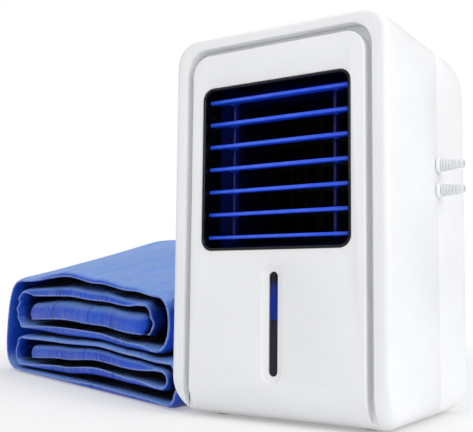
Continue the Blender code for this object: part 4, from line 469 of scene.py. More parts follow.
@dataclass(frozen=True)
class LensFinish(Finish):
    """The level window: black above, deep blue over the water, dark violet below."""

    top: float = 0.079
    middle: float = 0.0629
    blur: float = 0.0003
    fade: float = 0.009
    low_tint: Colour = tone(34, 28, 48)
    water_tint: Colour = tone(14, 40, 138)
    top_tint: Colour = tone(3, 4, 9)

    def pattern(self, graph: Graph, place: Socket, colour: Socket) -> Socket:
        """Sets the lens's tint by its height.

        Args:
            graph: the material's graph.
            place: the Object coordinates.
            colour: the plain colour.

        Returns:
            The patterned colour.
        """
        high = graph.add("ShaderNodeSeparateXYZ", {0: place}).outputs["Z"]
        water = graph.remap(high, self.middle - self.blur, self.middle + self.blur)
        crown = graph.remap(high, self.top, self.top + self.fade)
        return graph.mix(crown, graph.mix(water, self.low_tint, self.water_tint), self.top_tint)


def deselect() -> None:
    """Leaves edit mode and deselects everything."""
    if bpy.context.object and bpy.context.object.mode != "OBJECT":
        bpy.ops.object.mode_set(mode="OBJECT")
    bpy.ops.object.select_all(action="DESELECT")


def select_only(obj: Object) -> None:
    """Selects one object and makes it the active one.

    Args:
        obj: the object.
    """
    deselect()
    obj.select_set(True)
    bpy.context.view_layer.objects.active = obj


def rounded(
    half: float, low: float, high: float, low_radius: float, high_radius: float, steps: int = 10
) -> Outline:
    """Draws a rectangle with round corners, its lower and upper ones apart.

    Args:
        half: half its width.
        low, high: its lower and upper edges.
        low_radius, high_radius: the radii of the lower and the upper corners.
        steps: how many steps each corner has.

    Returns:
        The (across, up) points, anticlockwise from the lower left corner.
    """
    quarter = math.pi / 2
    corners = (
        (-half + low_radius, low + low_radius, low_radius, 2 * quarter),
        (half - low_radius, low + low_radius, low_radius, 3 * quarter),
        (half - high_radius, high - high_radius, high_radius, 0.0),
        (-half + high_radius, high - high_radius, high_radius, quarter),
    )
    points = []
    for across, up, radius, first in corners:
        for step in range(steps + 1):
            angle = first + quarter * step / steps
            points.append((across + radius * math.cos(angle), up + radius * math.sin(angle)))
    return points


def upright(outline: Outline, depth: float) -> Ring:
    """Stands an outline up at a depth, in the unit's own frame."""
    return [Vector((across, depth, up)) for across, up in outline]


def level_ring(outline: Outline, height: float, middle: Pair = (0.0, 0.0)) -> Ring:
    """Lays an outline flat at a height, about a middle, in the unit's own frame."""
    return [Vector((middle[0] + across, middle[1] + up, height)) for across, up in outline]


def circle(radius: float, steps: int = 48) -> Outline:
    """Draws a circle's points."""
    turns = (math.tau * step / steps for step in range(steps))
    return [(radius * math.cos(turn), radius * math.sin(turn)) for turn in turns]


MERGE = 0.00001
FLAT_ANGLE = 0.2


def loft(name: str, rings: Sequence[Ring]) -> Object:
    """Extrudes a filled circle once for each ring and sets each ring's points.

    Args:
        name: the new object's name.
        rings: rings of as many points each, in the unit's own frame.

    Returns:
        A closed solid, its faces outwards.
    """
    count = len(rings[0])
    deselect()
    bpy.ops.mesh.primitive_circle_add(vertices=count, radius=1.0, fill_type="NGON")
    obj = bpy.context.object
    obj.name = name
    bpy.ops.object.mode_set(mode="EDIT")
    bpy.ops.mesh.select_all(action="SELECT")
    for _ in rings[1:]:
        bpy.ops.mesh.extrude_region_move(TRANSFORM_OT_translate={"value": (0.0, 0.0, 1.0)})
    mesh = bmesh.from_edit_mesh(obj.data)
    for vertex in mesh.verts:
        place = math.atan2(-vertex.co.x, vertex.co.y) / math.tau * count
        vertex.co = rings[round(vertex.co.z)][round(place) % count] + ORIGIN
    mesh.normal_update()
    bmesh.update_edit_mesh(obj.data)
    bpy.ops.mesh.select_all(action="SELECT")
    bpy.ops.mesh.normals_make_consistent(inside=False)
    bpy.ops.object.mode_set(mode="OBJECT")
    return obj


def plate(name: str, outline: Outline, front: float, back: float) -> Object:
    """Extrudes an upright outline from one depth to another."""
    return loft(name, [upright(outline, front), upright(outline, back)])


def turned(name: str, profile: Sequence[Pair], centre: Vector, axis: str, steps: int = 48) -> Object:
    """Extrudes a circle along an axis, each ring with its own radius.

    Args:
        name: the new object's name.
        profile: (distance along the axis, radius) pairs.
        centre: where distance is nought, in the unit's own frame.
        axis: "X", "Y" or "Z".
        steps: how many sides it has.

    Returns:
        A closed turned solid.
    """
    rings = []
    for along, radius in profile:
        ring = []
        for first, second in circle(radius, steps):
            offset = {"X": (along, first, second), "Y": (first, along, second), "Z": (first, second, along)}
            ring.append(centre + Vector(offset[axis]))
        rings.append(ring)
    return loft(name, rings)


def rod(name: str, centre: Vector, axis: str, reach: Pair, radius: float, steps: int) -> Object:
    """Makes a plain round bar that reaches from one distance along its axis to another."""
    return turned(name, [(along, radius) for along in reach], centre, axis, steps)


def apply_boolean(target: Object, tools: Iterable[Object], operation: str) -> Object:
    """Applies a Boolean for each tool and removes the tools.

    Args:
        target: the solid that changes.
        tools: the solids that cut it or join it.
        operation: "DIFFERENCE", "UNION" or "INTERSECT".

    Returns:
        The changed solid.
    """
    for tool in tools:
        select_only(target)
        modifier = target.modifiers.new("shape", "BOOLEAN")
        modifier.operation = operation
        modifier.solver = "MANIFOLD"
        modifier.object = tool
        bpy.ops.object.modifier_apply(modifier=modifier.name)
        bpy.data.objects.remove(tool, do_unlink=True)
    return target


def cut(target: Object, *tools: Object) -> Object:
    """Cuts solids out of another."""
    return apply_boolean(target, tools, "DIFFERENCE")


def fuse(target: Object, *tools: Object) -> Object:
    """Joins solids into one."""
    return apply_boolean(target, tools, "UNION")


def soften(obj: Object, width: float = 0.0003, segments: int = 2, angle: float = 38.0) -> Object:
    """Rounds the sharp edges and shades the rest smooth.

    Args:
        obj: the piece.
        width: the rounding's width in metres, or nought for none.
        segments: how many steps the rounding has.
        angle: edges sharper than this, in degrees, are rounded.

    Returns:
        The piece.
    """
    select_only(obj)
    if width:
        bpy.ops.object.mode_set(mode="EDIT")
        bpy.ops.mesh.select_all(action="SELECT")
        bpy.ops.mesh.remove_doubles(threshold=MERGE)
        bpy.ops.mesh.dissolve_limited(angle_limit=math.radians(FLAT_ANGLE))
        bpy.ops.object.mode_set(mode="OBJECT")
        modifier = obj.modifiers.new("rounding", "BEVEL")
        modifier.width = width
        modifier.segments = segments
        modifier.limit_method = "ANGLE"
        modifier.angle_limit = math.radians(angle)
        modifier.use_clamp_overlap = True
        bpy.ops.object.modifier_apply(modifier=modifier.name)
    bpy.ops.object.shade_smooth_by_angle(angle=math.radians(angle))
    return obj


def copy_of(obj: Object, name: str, shift: Vector) -> Object:
    """Copies a piece with its own mesh and moves the copy's points.

    Args:
        obj: the piece to copy.
        name: the copy's name.
        shift: how far the copy stands from it.

    Returns:
        The copy, its object at the origin.
    """
    select_only(obj)
    bpy.ops.object.duplicate(linked=False)
    made = bpy.context.object
    made.name = name
    made.data.transform(Matrix.Translation(shift))
    return made


def settle(obj: Object) -> None:
    """Puts the object at the origin, unturned, with its place in its mesh."""
    select_only(obj)
    bpy.ops.object.transform_apply(location=True, rotation=True, scale=True)


class Dresser:
    """Holds the finished materials, and finishes each piece with one of them."""

    def __init__(self) -> None:
        """Starts with no materials and no pieces."""
        self.materials: dict[Slot, bpy.types.Material] = {}
        self.pieces = 0

    def learn(self, slot: Slot, finish: Union[Finish, "NylonFinish"]) -> None:
        """Builds the material of a slot."""
        self.materials[slot] = finish.make()

    def finish(self, obj: Object, slot: Slot, body: str, nodes: Sequence[str] = ()) -> None:
        """Gives a new piece its material and its body, and hides the nodes that it stands for.

        Args:
            obj: the finished piece.
            slot: its material slot.
            body: the body that it rides on.
            nodes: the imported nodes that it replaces.
        """
        settle(obj)
        obj.data.materials.clear()
        obj.data.materials.append(self.materials[slot])
        for polygon in obj.data.polygons:
            polygon.material_index = 0
        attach(obj, body)
        if nodes:
            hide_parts(*nodes)
        self.pieces += 1
        triangles = sum(len(polygon.vertices) - 2 for polygon in obj.data.polygons)
        LOG.info("%s rides on %s, %d triangles", obj.name, body, triangles)

    def dress(self, node: str, slot: Slot) -> None:
        """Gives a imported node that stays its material.

        Args:
            node: the node's name.
            slot: its material slot.
        """
        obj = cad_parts[node]
        if not obj.material_slots:
            obj.data.materials.append(None)
        for place in obj.material_slots:
            place.link = "OBJECT"
            place.material = self.materials[slot]
        LOG.info("%s keeps its own shape in %s", node, slot.value)


GAP = 0.0003
OVERRUN = 0.002
HALF_WIDTH = 0.0753
TOP = 0.245
REAR = 0.143
WALL = 0.0025
OUTLET_DEPTH = 0.08215
OUTLET_HEIGHTS = (0.1621, 0.1459)
WINDOW_LOW, WINDOW_HIGH = 0.1054, 0.2101
WINDOW_MIDDLE = 0.15775
SLAT_COUNT, SLAT_PITCH = 7, 0.0147
SLAT_DEPTH, SLAT_TOP = 0.0075, 0.20185
FILLER_X, FILLER_Y, FILLER_RADIUS = -0.038, 0.050, 0.016
CONTROLS_X, CONTROLS_Y, CONTROLS_CORNER = 0.026, 0.050, 0.005
GRILLE_HALF, GRILLE_CORNER = 0.044, 0.006
SOCKET_X, SOCKET_HEIGHT = 0.044, 0.034
SCREW_RADIUS = 0.0018


def arc_inset(distance: float, across: float, along: float) -> float:
    """Says how far an elliptic edge has drawn in at a distance from its start.

    Args:
        distance: how far along the edge.
        across, along: the edge's width and length.

    Returns:
        The inset in metres, nought past the edge.
    """
    if distance >= along:
        return 0.0
    share = (along - max(distance, 0.0)) / along
    return across * (1 - math.sqrt(max(0.0, 1 - share * share)))


@dataclass
class Casing:
    """The two shells of the unit and its feet."""

    dresser: Dresser
    bottom: float = 0.0015
    seam: float = 0.082
    corner_top: float = 0.016
    corner_bottom: float = 0.012
    edge_width: float = 0.0042
    edge_depth: float = 0.0047
    toe: float = 0.021
    rear_side: float = 0.008
    rear_top: float = 0.025
    rear_bottom: float = 0.020
    rear_corner: float = 0.008
    corner_steps: int = 12
    front_angles: range = range(0, 91, 9)
    rear_top_angles: range = range(0, 86, 8)
    rear_side_angles: tuple[int, ...] = (25, 42, 56, 68, 80)
    opening_half: float = 0.0657
    opening_top: float = 0.2373
    frame_corner: float = 0.015
    lip_wall: float = 0.0022
    groove: float = 0.008
    panel_back: float = 0.0102
    seam_lip_reach: float = 0.0035
    seam_lip_wall: float = 0.0015
    seam_lip_root: float = 0.003
    seam_lip_end: float = 0.005
    screw_x: float = 0.0666
    screw_heights: Pair = (0.0265, 0.2125)
    boss_front: float = 0.0457
    boss: Pair = (0.033, 0.004)
    boss_bore: Pair = (0.01, 0.04)
    column_front: float = 0.079
    column_radius: float = 0.0052
    column_bore: Triple = (0.009, 0.068, 0.0037)
    column_hole_end: float = 0.011
    port_hole_radius: float = 0.0034
    port_hole_reach: float = 0.01
    controls_half: float = 0.0313
    controls_half_depth: float = 0.0173
    controls_sink: float = 0.005
    grille_sink: float = 0.006
    socket_radius: float = 0.0048
    socket_sink: float = 0.006
    foot_x: float = 0.052
    foot_depths: Pair = (0.032, 0.108)
    foot_radius: float = 0.007
    foot_thickness: float = 0.0024
    sole: Pairs = (
        (0.0006, 0.0), (0.0002, 0.0002), (0.0, 0.0006), (0.0, 0.0016), (0.0004, 0.002), (0.0004, 0.0036),
        (0.0001, 0.0039))
    sole_middle: Pair = (0.0001, 0.0006)
    rounding: float = 0.00035
    rounding_steps: int = 3
    foot_rounding: float = 0.00008

    def toe_line(self, depth: float, inset: float = 0.0) -> float:
        """Follows the curve that runs back under the unit.

        Args:
            depth: how far behind the front.
            inset: how far inside the outer surface.

        Returns:
            The curve's height.
        """
        radius = self.toe - inset
        reach = max(self.toe - depth, 0.0)
        return self.bottom + self.toe - math.sqrt(max(0.0, radius * radius - reach * reach))

    def ring(self, depth: float, inset: float = 0.0) -> Ring:
        """Draws the casing's outline at a depth.

        Args:
            depth: how far behind the front.
            inset: how far inside the outer surface.

        Returns:
            The ring's points.
        """
        front = arc_inset(depth - inset, self.edge_width, self.edge_depth)
        left = REAR - inset - depth
        side, high_in, low_in = (
            arc_inset(left, radius - inset, radius - inset)
            for radius in (self.rear_side, self.rear_top, self.rear_bottom)
        )
        share = side / (self.rear_side - inset)
        low_radius = (self.corner_bottom - inset) * (1 - share) + (self.rear_corner - inset) * share
        high_radius = (self.corner_top - inset - front) * (1 - share)
        high_radius += (self.rear_corner - inset) * share
        outline = rounded(
            HALF_WIDTH - inset - front - side, self.toe_line(depth, inset) + low_in,
            TOP - inset - front - high_in, low_radius, high_radius, self.corner_steps,
        )
        return upright(outline, depth)

    def front_depths(self, inset: float, end: float) -> list[float]:
        """Lists depths that draw the front edge and the toe curve smoothly.

        Args:
            inset: how far inside the outer surface the rings lie.
            end: the last depth.

        Returns:
            The depths, from the front back.
        """
        turns = [math.radians(angle) for angle in self.front_angles]
        edge = [inset + self.edge_depth * (1 - math.cos(turn)) for turn in turns]
        toe = [self.toe - (self.toe - inset) * math.cos(turn) for turn in turns]
        toe = [depth for depth in toe if depth > edge[-1] + GAP]
        return edge + toe + [end]

    def rear_depths(self, start: float, end: float, inset: float) -> list[float]:
        """Lists depths that draw the rear's round edges smoothly.

        Args:
            start, end: the first and the last depth.
            inset: how far inside the outer surface the rings lie.

        Returns:
            The depths, from the front back.
        """
        depths = {start}
        edges = ((self.rear_top, self.rear_top_angles), (self.rear_side, self.rear_side_angles))
        for radius, angles in edges:
            reach = radius - inset
            depths |= {round(end - reach + reach * math.sin(math.radians(a)), 6) for a in angles}
        return sorted(depths) + [end]

    def shell(self, name: str, depths: Sequence[float], inset: float = 0.0) -> Object:
        """Lofts the casing's outline through a list of depths."""
        return loft(name, [self.ring(depth, inset) for depth in depths])

    def port_hole(self, height: float) -> Object:
        """Makes the cutter of a hole on the seam."""
        start = Vector((HALF_WIDTH - WALL - OVERRUN * 2, self.seam + GAP / 2, height))
        return rod("port_hole", start, "X", (0.0, self.port_hole_reach), self.port_hole_radius, 32)

    def foot_recess(self, side: int, depth: float) -> Object:
        """Makes the cutter of a foot's shallow recess."""
        start, reach = Vector((side * self.foot_x, depth, 0.0)), (-OVERRUN, self.foot_thickness + GAP)
        return rod("foot_recess", start, "Z", reach, self.foot_radius + GAP, 40)

    def screw_places(self, depth: float) -> list[Vector]:
        """Lists the four screws' places at a depth."""
        return [Vector((side * self.screw_x, depth, high)) for side in (-1, 1) for high in self.screw_heights]

    def cut_shared_holes(self, shell: Object, foot_depth: float) -> None:
        """Cuts a shell's halves of the two outlets' holes and its two feet's recesses."""
        cut(shell, *(self.port_hole(height) for height in OUTLET_HEIGHTS))
        cut(shell, *(self.foot_recess(side, foot_depth) for side in (-1, 1)))

    def cut_top(self, shell: Object) -> None:
        """Cuts the filler's hole and the control panel's opening.

        Args:
            shell: the front shell, which carries both.
        """
        neck = Vector((FILLER_X, FILLER_Y, TOP - WALL))
        cut(shell, rod("neck_hole", neck, "Z", (-OVERRUN, WALL + OVERRUN), FILLER_RADIUS + GAP, 56))
        depth = self.controls_half_depth
        pocket = rounded(self.controls_half, -depth, depth, CONTROLS_CORNER, CONTROLS_CORNER)
        heights = (TOP - self.controls_sink, TOP + OVERRUN)
        rings = [level_ring(pocket, high, (CONTROLS_X, CONTROLS_Y)) for high in heights]
        cut(shell, loft("control_hole", rings))

    def front(self) -> None:
        """Builds the front shell: the frame, the side walls, the top and the bottom."""
        shell = self.shell("casing_front", self.front_depths(0.0, self.seam))
        cavity = self.shell("cavity", self.front_depths(WALL, self.seam + OVERRUN), WALL)
        lip = rounded(
            self.opening_half + self.lip_wall, -OVERRUN, self.opening_top + self.lip_wall,
            WALL, self.frame_corner + self.lip_wall,
        )
        cut(cavity, plate("lip_block", lip, -OVERRUN, self.groove - GAP))
        cut(shell, cavity)
        opening = rounded(
            self.opening_half, -OVERRUN * 2, self.opening_top, WALL, self.frame_corner, self.corner_steps
        )
        cut(shell, plate("opening", opening, -OVERRUN * 2, self.panel_back + GAP))
        length, radius = self.boss
        for place in self.screw_places(self.boss_front):
            fuse(shell, rod("boss", place, "Y", (0.0, length), radius, 24))
            cut(shell, rod("bore", place, "Y", self.boss_bore, SCREW_RADIUS, 16))
        self.cut_shared_holes(shell, self.foot_depths[0])
        self.cut_top(shell)
        soften(shell, self.rounding, self.rounding_steps)
        self.dresser.finish(shell, Slot.CASING, Body.UNIT.value, ["front_shell"])

    def seam_lip(self, start: float) -> Object:
        """Builds the lip inside the seam, which keeps the two shells in line.

        Args:
            start: the rear shell's front edge.

        Returns:
            The lip, to be joined to the rear shell.
        """
        front, slack = self.seam - self.seam_lip_reach, WALL + GAP
        rings = [self.ring(front, slack), self.ring(start + GAP, slack)]
        rings += [self.ring(start + 2 * GAP, WALL / 2), self.ring(start + self.seam_lip_root, WALL / 2)]
        inside = [front - OVERRUN, start + self.seam_lip_end]
        return cut(loft("seam_lip", rings), self.shell("lip_cavity", inside, slack + self.seam_lip_wall))

    def back(self) -> None:
        """Builds the rear shell with its inner lip, screw columns and openings."""
        start = self.seam + GAP
        shell = self.shell("casing_rear", self.rear_depths(start, REAR, 0.0))
        cut(shell, self.shell("cavity", self.rear_depths(start - OVERRUN, REAR - WALL, WALL), WALL))
        fuse(shell, self.seam_lip(start))
        reach = REAR - WALL / 2 - self.column_front
        bore_start, bore_end, bore_radius = self.column_bore
        for place in self.screw_places(self.column_front):
            fuse(shell, rod("column", place, "Y", (0.0, reach), self.column_radius, 32))
            cut(shell, rod("deep", place, "Y", (bore_start, bore_end), bore_radius, 32))
            cut(shell, rod("hole", place, "Y", (-OVERRUN, self.column_hole_end), SCREW_RADIUS, 16))
        self.cut_shared_holes(shell, self.foot_depths[1])
        half = GRILLE_HALF + GAP
        hole = rounded(half, WINDOW_MIDDLE - half, WINDOW_MIDDLE + half, GRILLE_CORNER, GRILLE_CORNER)
        cut(shell, plate("grille_hole", hole, REAR - self.grille_sink, REAR + OVERRUN))
        socket = Vector((SOCKET_X, REAR, SOCKET_HEIGHT))
        cut(shell, rod("socket_hole", socket, "Y", (-self.socket_sink, OVERRUN), self.socket_radius, 40))
        soften(shell, self.rounding, self.rounding_steps)
        self.dresser.finish(shell, Slot.CASING, Body.UNIT.value, ["rear_shell"])

    def feet(self) -> None:
        """Builds one rubber foot with a dished, ribbed sole, and copies it three times."""
        profile = [(self.foot_thickness, self.foot_radius)]
        profile += [(high, self.foot_radius - inset) for high, inset in self.sole] + [self.sole_middle]
        first = Vector((-self.foot_x, self.foot_depths[0], 0.0))
        pattern = soften(turned("foot", profile, first, "Z", 48), self.foot_rounding, 2)
        for row, depth in zip(("front", "rear"), self.foot_depths):
            for hand, side in (("left", -1), ("right", 1)):
                shift = Vector((side * self.foot_x, depth, 0.0)) - first
                foot = copy_of(pattern, f"rubber_foot_{row}_{hand}", shift)
                self.dresser.finish(foot, Slot.FOOT, Body.UNIT.value, [f"foot_{row}_{hand}"])
        bpy.data.objects.remove(pattern, do_unlink=True)

    def build(self) -> None:
        """Builds the whole casing."""
        self.front()
        self.back()
        self.feet()


@dataclass
class FrontPanel:
    """The raised front panel, the level window in it and the air outlet's glossy trim."""

    dresser: Dresser
    casing: Casing
    half_width: float = 0.061
    top: float = 0.2326
    wall: float = 0.0025
    edge: float = 0.0009
    edge_angles: tuple[int, ...] = (0, 30, 60, 90)
    corner: float = 0.0125
    corner_steps: int = 12
    depth_steps: int = 8
    flange_reach: float = 0.004
    flange_low: float = 0.0163
    flange_rise: float = 0.0037
    flange_low_corner: float = 0.0025
    toe_flange_top: float = 0.032
    toe_flange_steps: int = 3
    window_half: float = 0.052
    window_corner: float = 0.0075
    level_half: float = 0.0031
    level_low: float = 0.0291
    level_high: float = 0.0919
    level_boss: Triple = (0.0065, 0.00125, 0.0052)
    level_slot_end: float = 0.008
    dish: float = 0.0042
    dish_depth: float = 0.0022
    dish_shares: tuple[float, ...] = (1.25, 1.0, 0.96, 0.9, 0.8, 0.6, 0.4, 0.2, 0.0, -0.07)
    dish_power: float = 0.6
    lens_crown: Pairs = ((-0.0014, 0.0), (-0.0008, 0.00015), (-0.0003, 0.0005))
    lens_flange: float = 0.003
    lens_flange_depths: Pair = (0.0055, 0.0075)
    trim_outside: Pairs = (
        (0.00065, -0.0006), (0.00045, -0.00056), (0.00026, -0.00046), (0.0001, -0.00028),
        (0.00002, -0.0001), (0.0, 0.0001), (0.0, 0.018))
    trim_inside: Pairs = (
        (0.00085, -0.003), (0.00085, -0.0006), (0.00115, -0.0005), (0.0014, -0.0003), (0.0016, 0.0001),
        (0.00175, 0.0006), (0.00186, 0.0012), (0.00195, 0.002), (0.002, 0.003), (0.002, 0.02))
    trim_wall: float = 0.002
    trim_flange: Triple = (0.003, 0.0028, 0.0044)
    pin_hole: Pair = (0.056, 0.0011)
    panel_rounding: float = 0.0002
    lens_rounding: float = 0.0001
    trim_rounding: float = 0.00005

    def ring(self, depth: float, inset: float = 0.0) -> Ring:
        """Draws the panel's outline at a depth.

        Args:
            depth: how far behind the front.
            inset: how far inside the outer surface.

        Returns:
            The ring's points.
        """
        edge = arc_inset(depth, self.edge, self.edge) if inset == 0 else 0.0
        outline = rounded(
            self.half_width - inset - edge, self.casing.toe_line(depth, inset),
            self.top - inset - edge, self.edge, self.corner - inset - edge, self.corner_steps,
        )
        return upright(outline, depth)

    def level_outline(self, grow: float) -> Outline:
        """Draws the level slot, widened by a margin."""
        half = self.level_half + grow
        return rounded(half, self.level_low - grow, self.level_high + grow, half, half, self.corner_steps)

    def window_outline(self, inset: float, drop: float = 0.0) -> Outline:
        """Draws the air window, drawn in by an inset, its corners tighter by a drop."""
        half, corner = self.window_half - inset, self.window_corner - drop
        return rounded(half, WINDOW_LOW + inset, WINDOW_HIGH - inset, corner, corner, self.corner_steps)

    def dished_slot(self) -> Object:
        """Makes the cutter of the dish that slopes softly into the level slot.

        Returns:
            The cutter.
        """
        rings = []
        for share in self.dish_shares:
            inward = 1 - share
            slope = self.dish_depth * math.copysign(abs(inward) ** self.dish_power, inward)
            rings.append(upright(self.level_outline(self.dish * share), slope))
        return loft("dish", rings)

    def steps_between(self, start: float, end: float, steps: int) -> list[float]:
        """Lists even steps from one depth to another."""
        return [start + (end - start) * step / steps for step in range(steps + 1)]

    def flanges(self) -> tuple[Object, Object]:
        """Builds the flange behind the frame and the one that follows the toe curve.

        Returns:
            The two flanges, to be joined to the panel.
        """
        casing = self.casing
        outline = rounded(
            casing.opening_half + self.flange_reach, self.flange_low, casing.opening_top + self.flange_rise,
            self.flange_low_corner, casing.frame_corner,
        )
        flange = plate("flange", outline, casing.groove, casing.panel_back)
        half = casing.opening_half - GAP
        rings = [
            upright(rounded(half, casing.toe_line(place), self.toe_flange_top, self.edge, self.edge), place)
            for place in self.steps_between(casing.groove, casing.panel_back, self.toe_flange_steps)
        ]
        return flange, loft("toe_flange", rings)

    def panel(self) -> None:
        """Builds the panel, its flanges, the dish and both openings."""
        edges = [self.edge * (1 - math.cos(math.radians(angle))) for angle in self.edge_angles]
        depth = self.casing.panel_back
        back = self.steps_between(self.edge, depth, self.depth_steps)[1:]
        panel = loft("front_panel_face", [self.ring(place) for place in edges + back])
        fuse(panel, *self.flanges())
        hollow = self.steps_between(self.wall, depth + OVERRUN, self.depth_steps)
        cut(panel, loft("hollow", [self.ring(place, self.wall) for place in hollow]))
        grow, front, behind = self.level_boss
        fuse(panel, plate("level_boss", self.level_outline(grow), front, behind))
        slot = plate("slot", self.level_outline(0.0), -OVERRUN, self.level_slot_end)
        cut(panel, self.dished_slot(), slot)
        cut(panel, plate("window", self.window_outline(-GAP), -OVERRUN, depth + OVERRUN))
        soften(panel, self.panel_rounding, 2, 42)
        self.dresser.finish(panel, Slot.CASING, Body.UNIT.value, ["front_panel"])

    def lens(self) -> None:
        """Builds the crowned lens of the level window."""
        front = self.dish_depth + GAP
        near, far = self.lens_flange_depths
        rings = [upright(self.level_outline(grow), front + place) for grow, place in self.lens_crown]
        rings.append(upright(self.level_outline(-GAP), near))
        rings += [upright(self.level_outline(self.lens_flange), place) for place in (near, far)]
        lens = soften(loft("level_lens_pane", rings), self.lens_rounding, 2, 50)
        self.dresser.finish(lens, Slot.LENS, Body.UNIT.value, ["level_window"])

    def trim(self) -> None:
        """Builds the glossy trim: a sleeve with a rolled lip, a flange and the slats' pin holes."""
        outside = [upright(self.window_outline(inset), place) for inset, place in self.trim_outside]
        inside = [upright(self.window_outline(inset, self.trim_wall), place)
                  for inset, place in self.trim_inside]
        grow, near, far = self.trim_flange
        trim = loft("outlet_trim", outside)
        fuse(trim, plate("flange", self.window_outline(-grow), near, far))
        cut(trim, loft("inside", inside))
        half, radius = self.pin_hole
        for number in range(SLAT_COUNT):
            start = Vector((-half, SLAT_DEPTH, SLAT_TOP - SLAT_PITCH * number))
            cut(trim, rod("pin_hole", start, "X", (0.0, 2 * half), radius, 16))
        soften(trim, self.trim_rounding, 1, 50)
        self.dresser.finish(trim, Slot.TRIM, Body.UNIT.value, ["grille_trim"])

    def build(self) -> None:
        """Builds the panel, the lens and the trim."""
        self.panel()
        self.lens()
        self.trim()


def side_plate(name: str, outline: Outline, left: float, right: float) -> Object:
    """Extrudes a (depth, height) outline from one side to the other."""
    rings = [[Vector((across, depth, up)) for depth, up in outline] for across in (left, right)]
    return loft(name, rings)


def about(points: Outline, depth: float, height: float) -> Outline:
    """Moves an outline's points."""
    return [(across + depth, up + height) for across, up in points]


@dataclass
class Louver:
    """The seven slats, which turn on pins, and the two bars that link them."""

    dresser: Dresser
    half_length: float = 0.0489
    reach: float = 0.0044
    nose: float = 0.0012
    nose_steps: int = 12
    tail: float = 0.0006
    tail_steps: int = 6
    ends: Pairs = (
        (-1.0, 0.84), (-0.9965, 0.97), (-0.992, 1.0), (0.992, 1.0), (0.9965, 0.97), (1.0, 0.84))
    arm: float = 0.0072
    link_x: float = 0.036
    pin: float = 0.0008
    pin_reach: Pair = (-0.0014, 0.0025)
    lug_half: Pair = (0.00245, 0.0009)
    lug_corner: float = 0.0008
    lug_middle: float = 0.00565
    lug_sides: Pair = (0.0012, 0.0024)
    link_pin_sides: Pair = (-0.0012, 0.0018)
    bar_half: float = 0.0019
    bar_corner: float = 0.0018
    bar_half_thickness: float = 0.0009
    bar_hole: float = 0.0011
    bar_hole_reach: Pair = (-0.001, 0.003)
    slat_rounding: float = 0.00008
    bar_rounding: float = 0.00015

    def section(self, share: float) -> Outline:
        """Draws a slat's section about its pivot: a round nose that tapers to a thin tail.

        Args:
            share: how large it is drawn, 1 for its full size.

        Returns:
            The (depth, height) points.
        """
        points = []
        ends = ((self.nose - self.reach, self.nose, 90, self.nose_steps),
                (self.reach - self.tail, self.tail, -90, self.tail_steps))
        for centre, radius, first, steps in ends:
            for step in range(steps + 1):
                turn = math.radians(first + 180 * step / steps)
                points.append((centre + radius * math.cos(turn), radius * math.sin(turn)))
        return [(depth * share, up * share) for depth, up in points]

    def slat(self) -> Object:
        """Builds the uppermost slat with its end pins and the lugs behind it.

        Returns:
            The slat.
        """
        rings = []
        for end, share in self.ends:
            outline = about(self.section(share), SLAT_DEPTH, SLAT_TOP)
            rings.append([Vector((end * self.half_length, depth, up)) for depth, up in outline])
        slat = loft("slat", rings)
        middle = Vector((0.0, SLAT_DEPTH, SLAT_TOP))
        link = middle + Vector((0.0, self.arm, 0.0))
        half, high = self.lug_half
        lug = about(rounded(half, -high, high, self.lug_corner, self.lug_corner, 4),
                    SLAT_DEPTH + self.lug_middle, SLAT_TOP)
        for side in (-1, 1):
            start, end = sorted(side * (self.half_length + reach) for reach in self.pin_reach)
            fuse(slat, rod("pin", middle, "X", (start, end), self.pin, 20))
            start, end = sorted(side * (self.link_x + reach) for reach in self.lug_sides)
            fuse(slat, side_plate("lug", lug, start, end))
            start, end = sorted(side * (self.link_x + reach) for reach in self.link_pin_sides)
            fuse(slat, rod("link_pin", link, "X", (start, end), self.pin, 16))
        return soften(slat, self.slat_rounding, 2, 40)

    def bar(self) -> Object:
        """Builds the left bar with its holes.

        Returns:
            The bar.
        """
        span = SLAT_PITCH * (SLAT_COUNT - 1) / 2
        half = span + self.bar_half
        outline = about(rounded(self.bar_half, -half, half, self.bar_corner, self.bar_corner, 6),
                        SLAT_DEPTH + self.arm, SLAT_TOP - span)
        left = -self.link_x - self.bar_half_thickness
        bar = side_plate("link_bar_left", outline, left, left + 2 * self.bar_half_thickness)
        for number in range(SLAT_COUNT):
            place = Vector((left, SLAT_DEPTH + self.arm, SLAT_TOP - SLAT_PITCH * number))
            cut(bar, rod("hole", place, "X", self.bar_hole_reach, self.bar_hole, 20))
        return soften(bar, self.bar_rounding, 2)

    def build(self) -> None:
        """Builds one slat and one bar, and copies them."""
        pattern = self.slat()
        for number in range(SLAT_COUNT):
            slat = copy_of(pattern, f"blue_slat_{number + 1}", Vector((0.0, 0.0, -SLAT_PITCH * number)))
            self.dresser.finish(slat, Slot.SLAT, f"slat_{number + 1}", [f"slat_{number + 1}"])
        bpy.data.objects.remove(pattern, do_unlink=True)
        bar = self.bar()
        other = copy_of(bar, "link_bar_right", Vector((2 * self.link_x, 0.0, 0.0)))
        self.dresser.finish(bar, Slot.DUCT, Body.LINK_LEFT.value, ["louver_link_left"])
        self.dresser.finish(other, Slot.DUCT, Body.LINK_RIGHT.value, ["louver_link_right"])


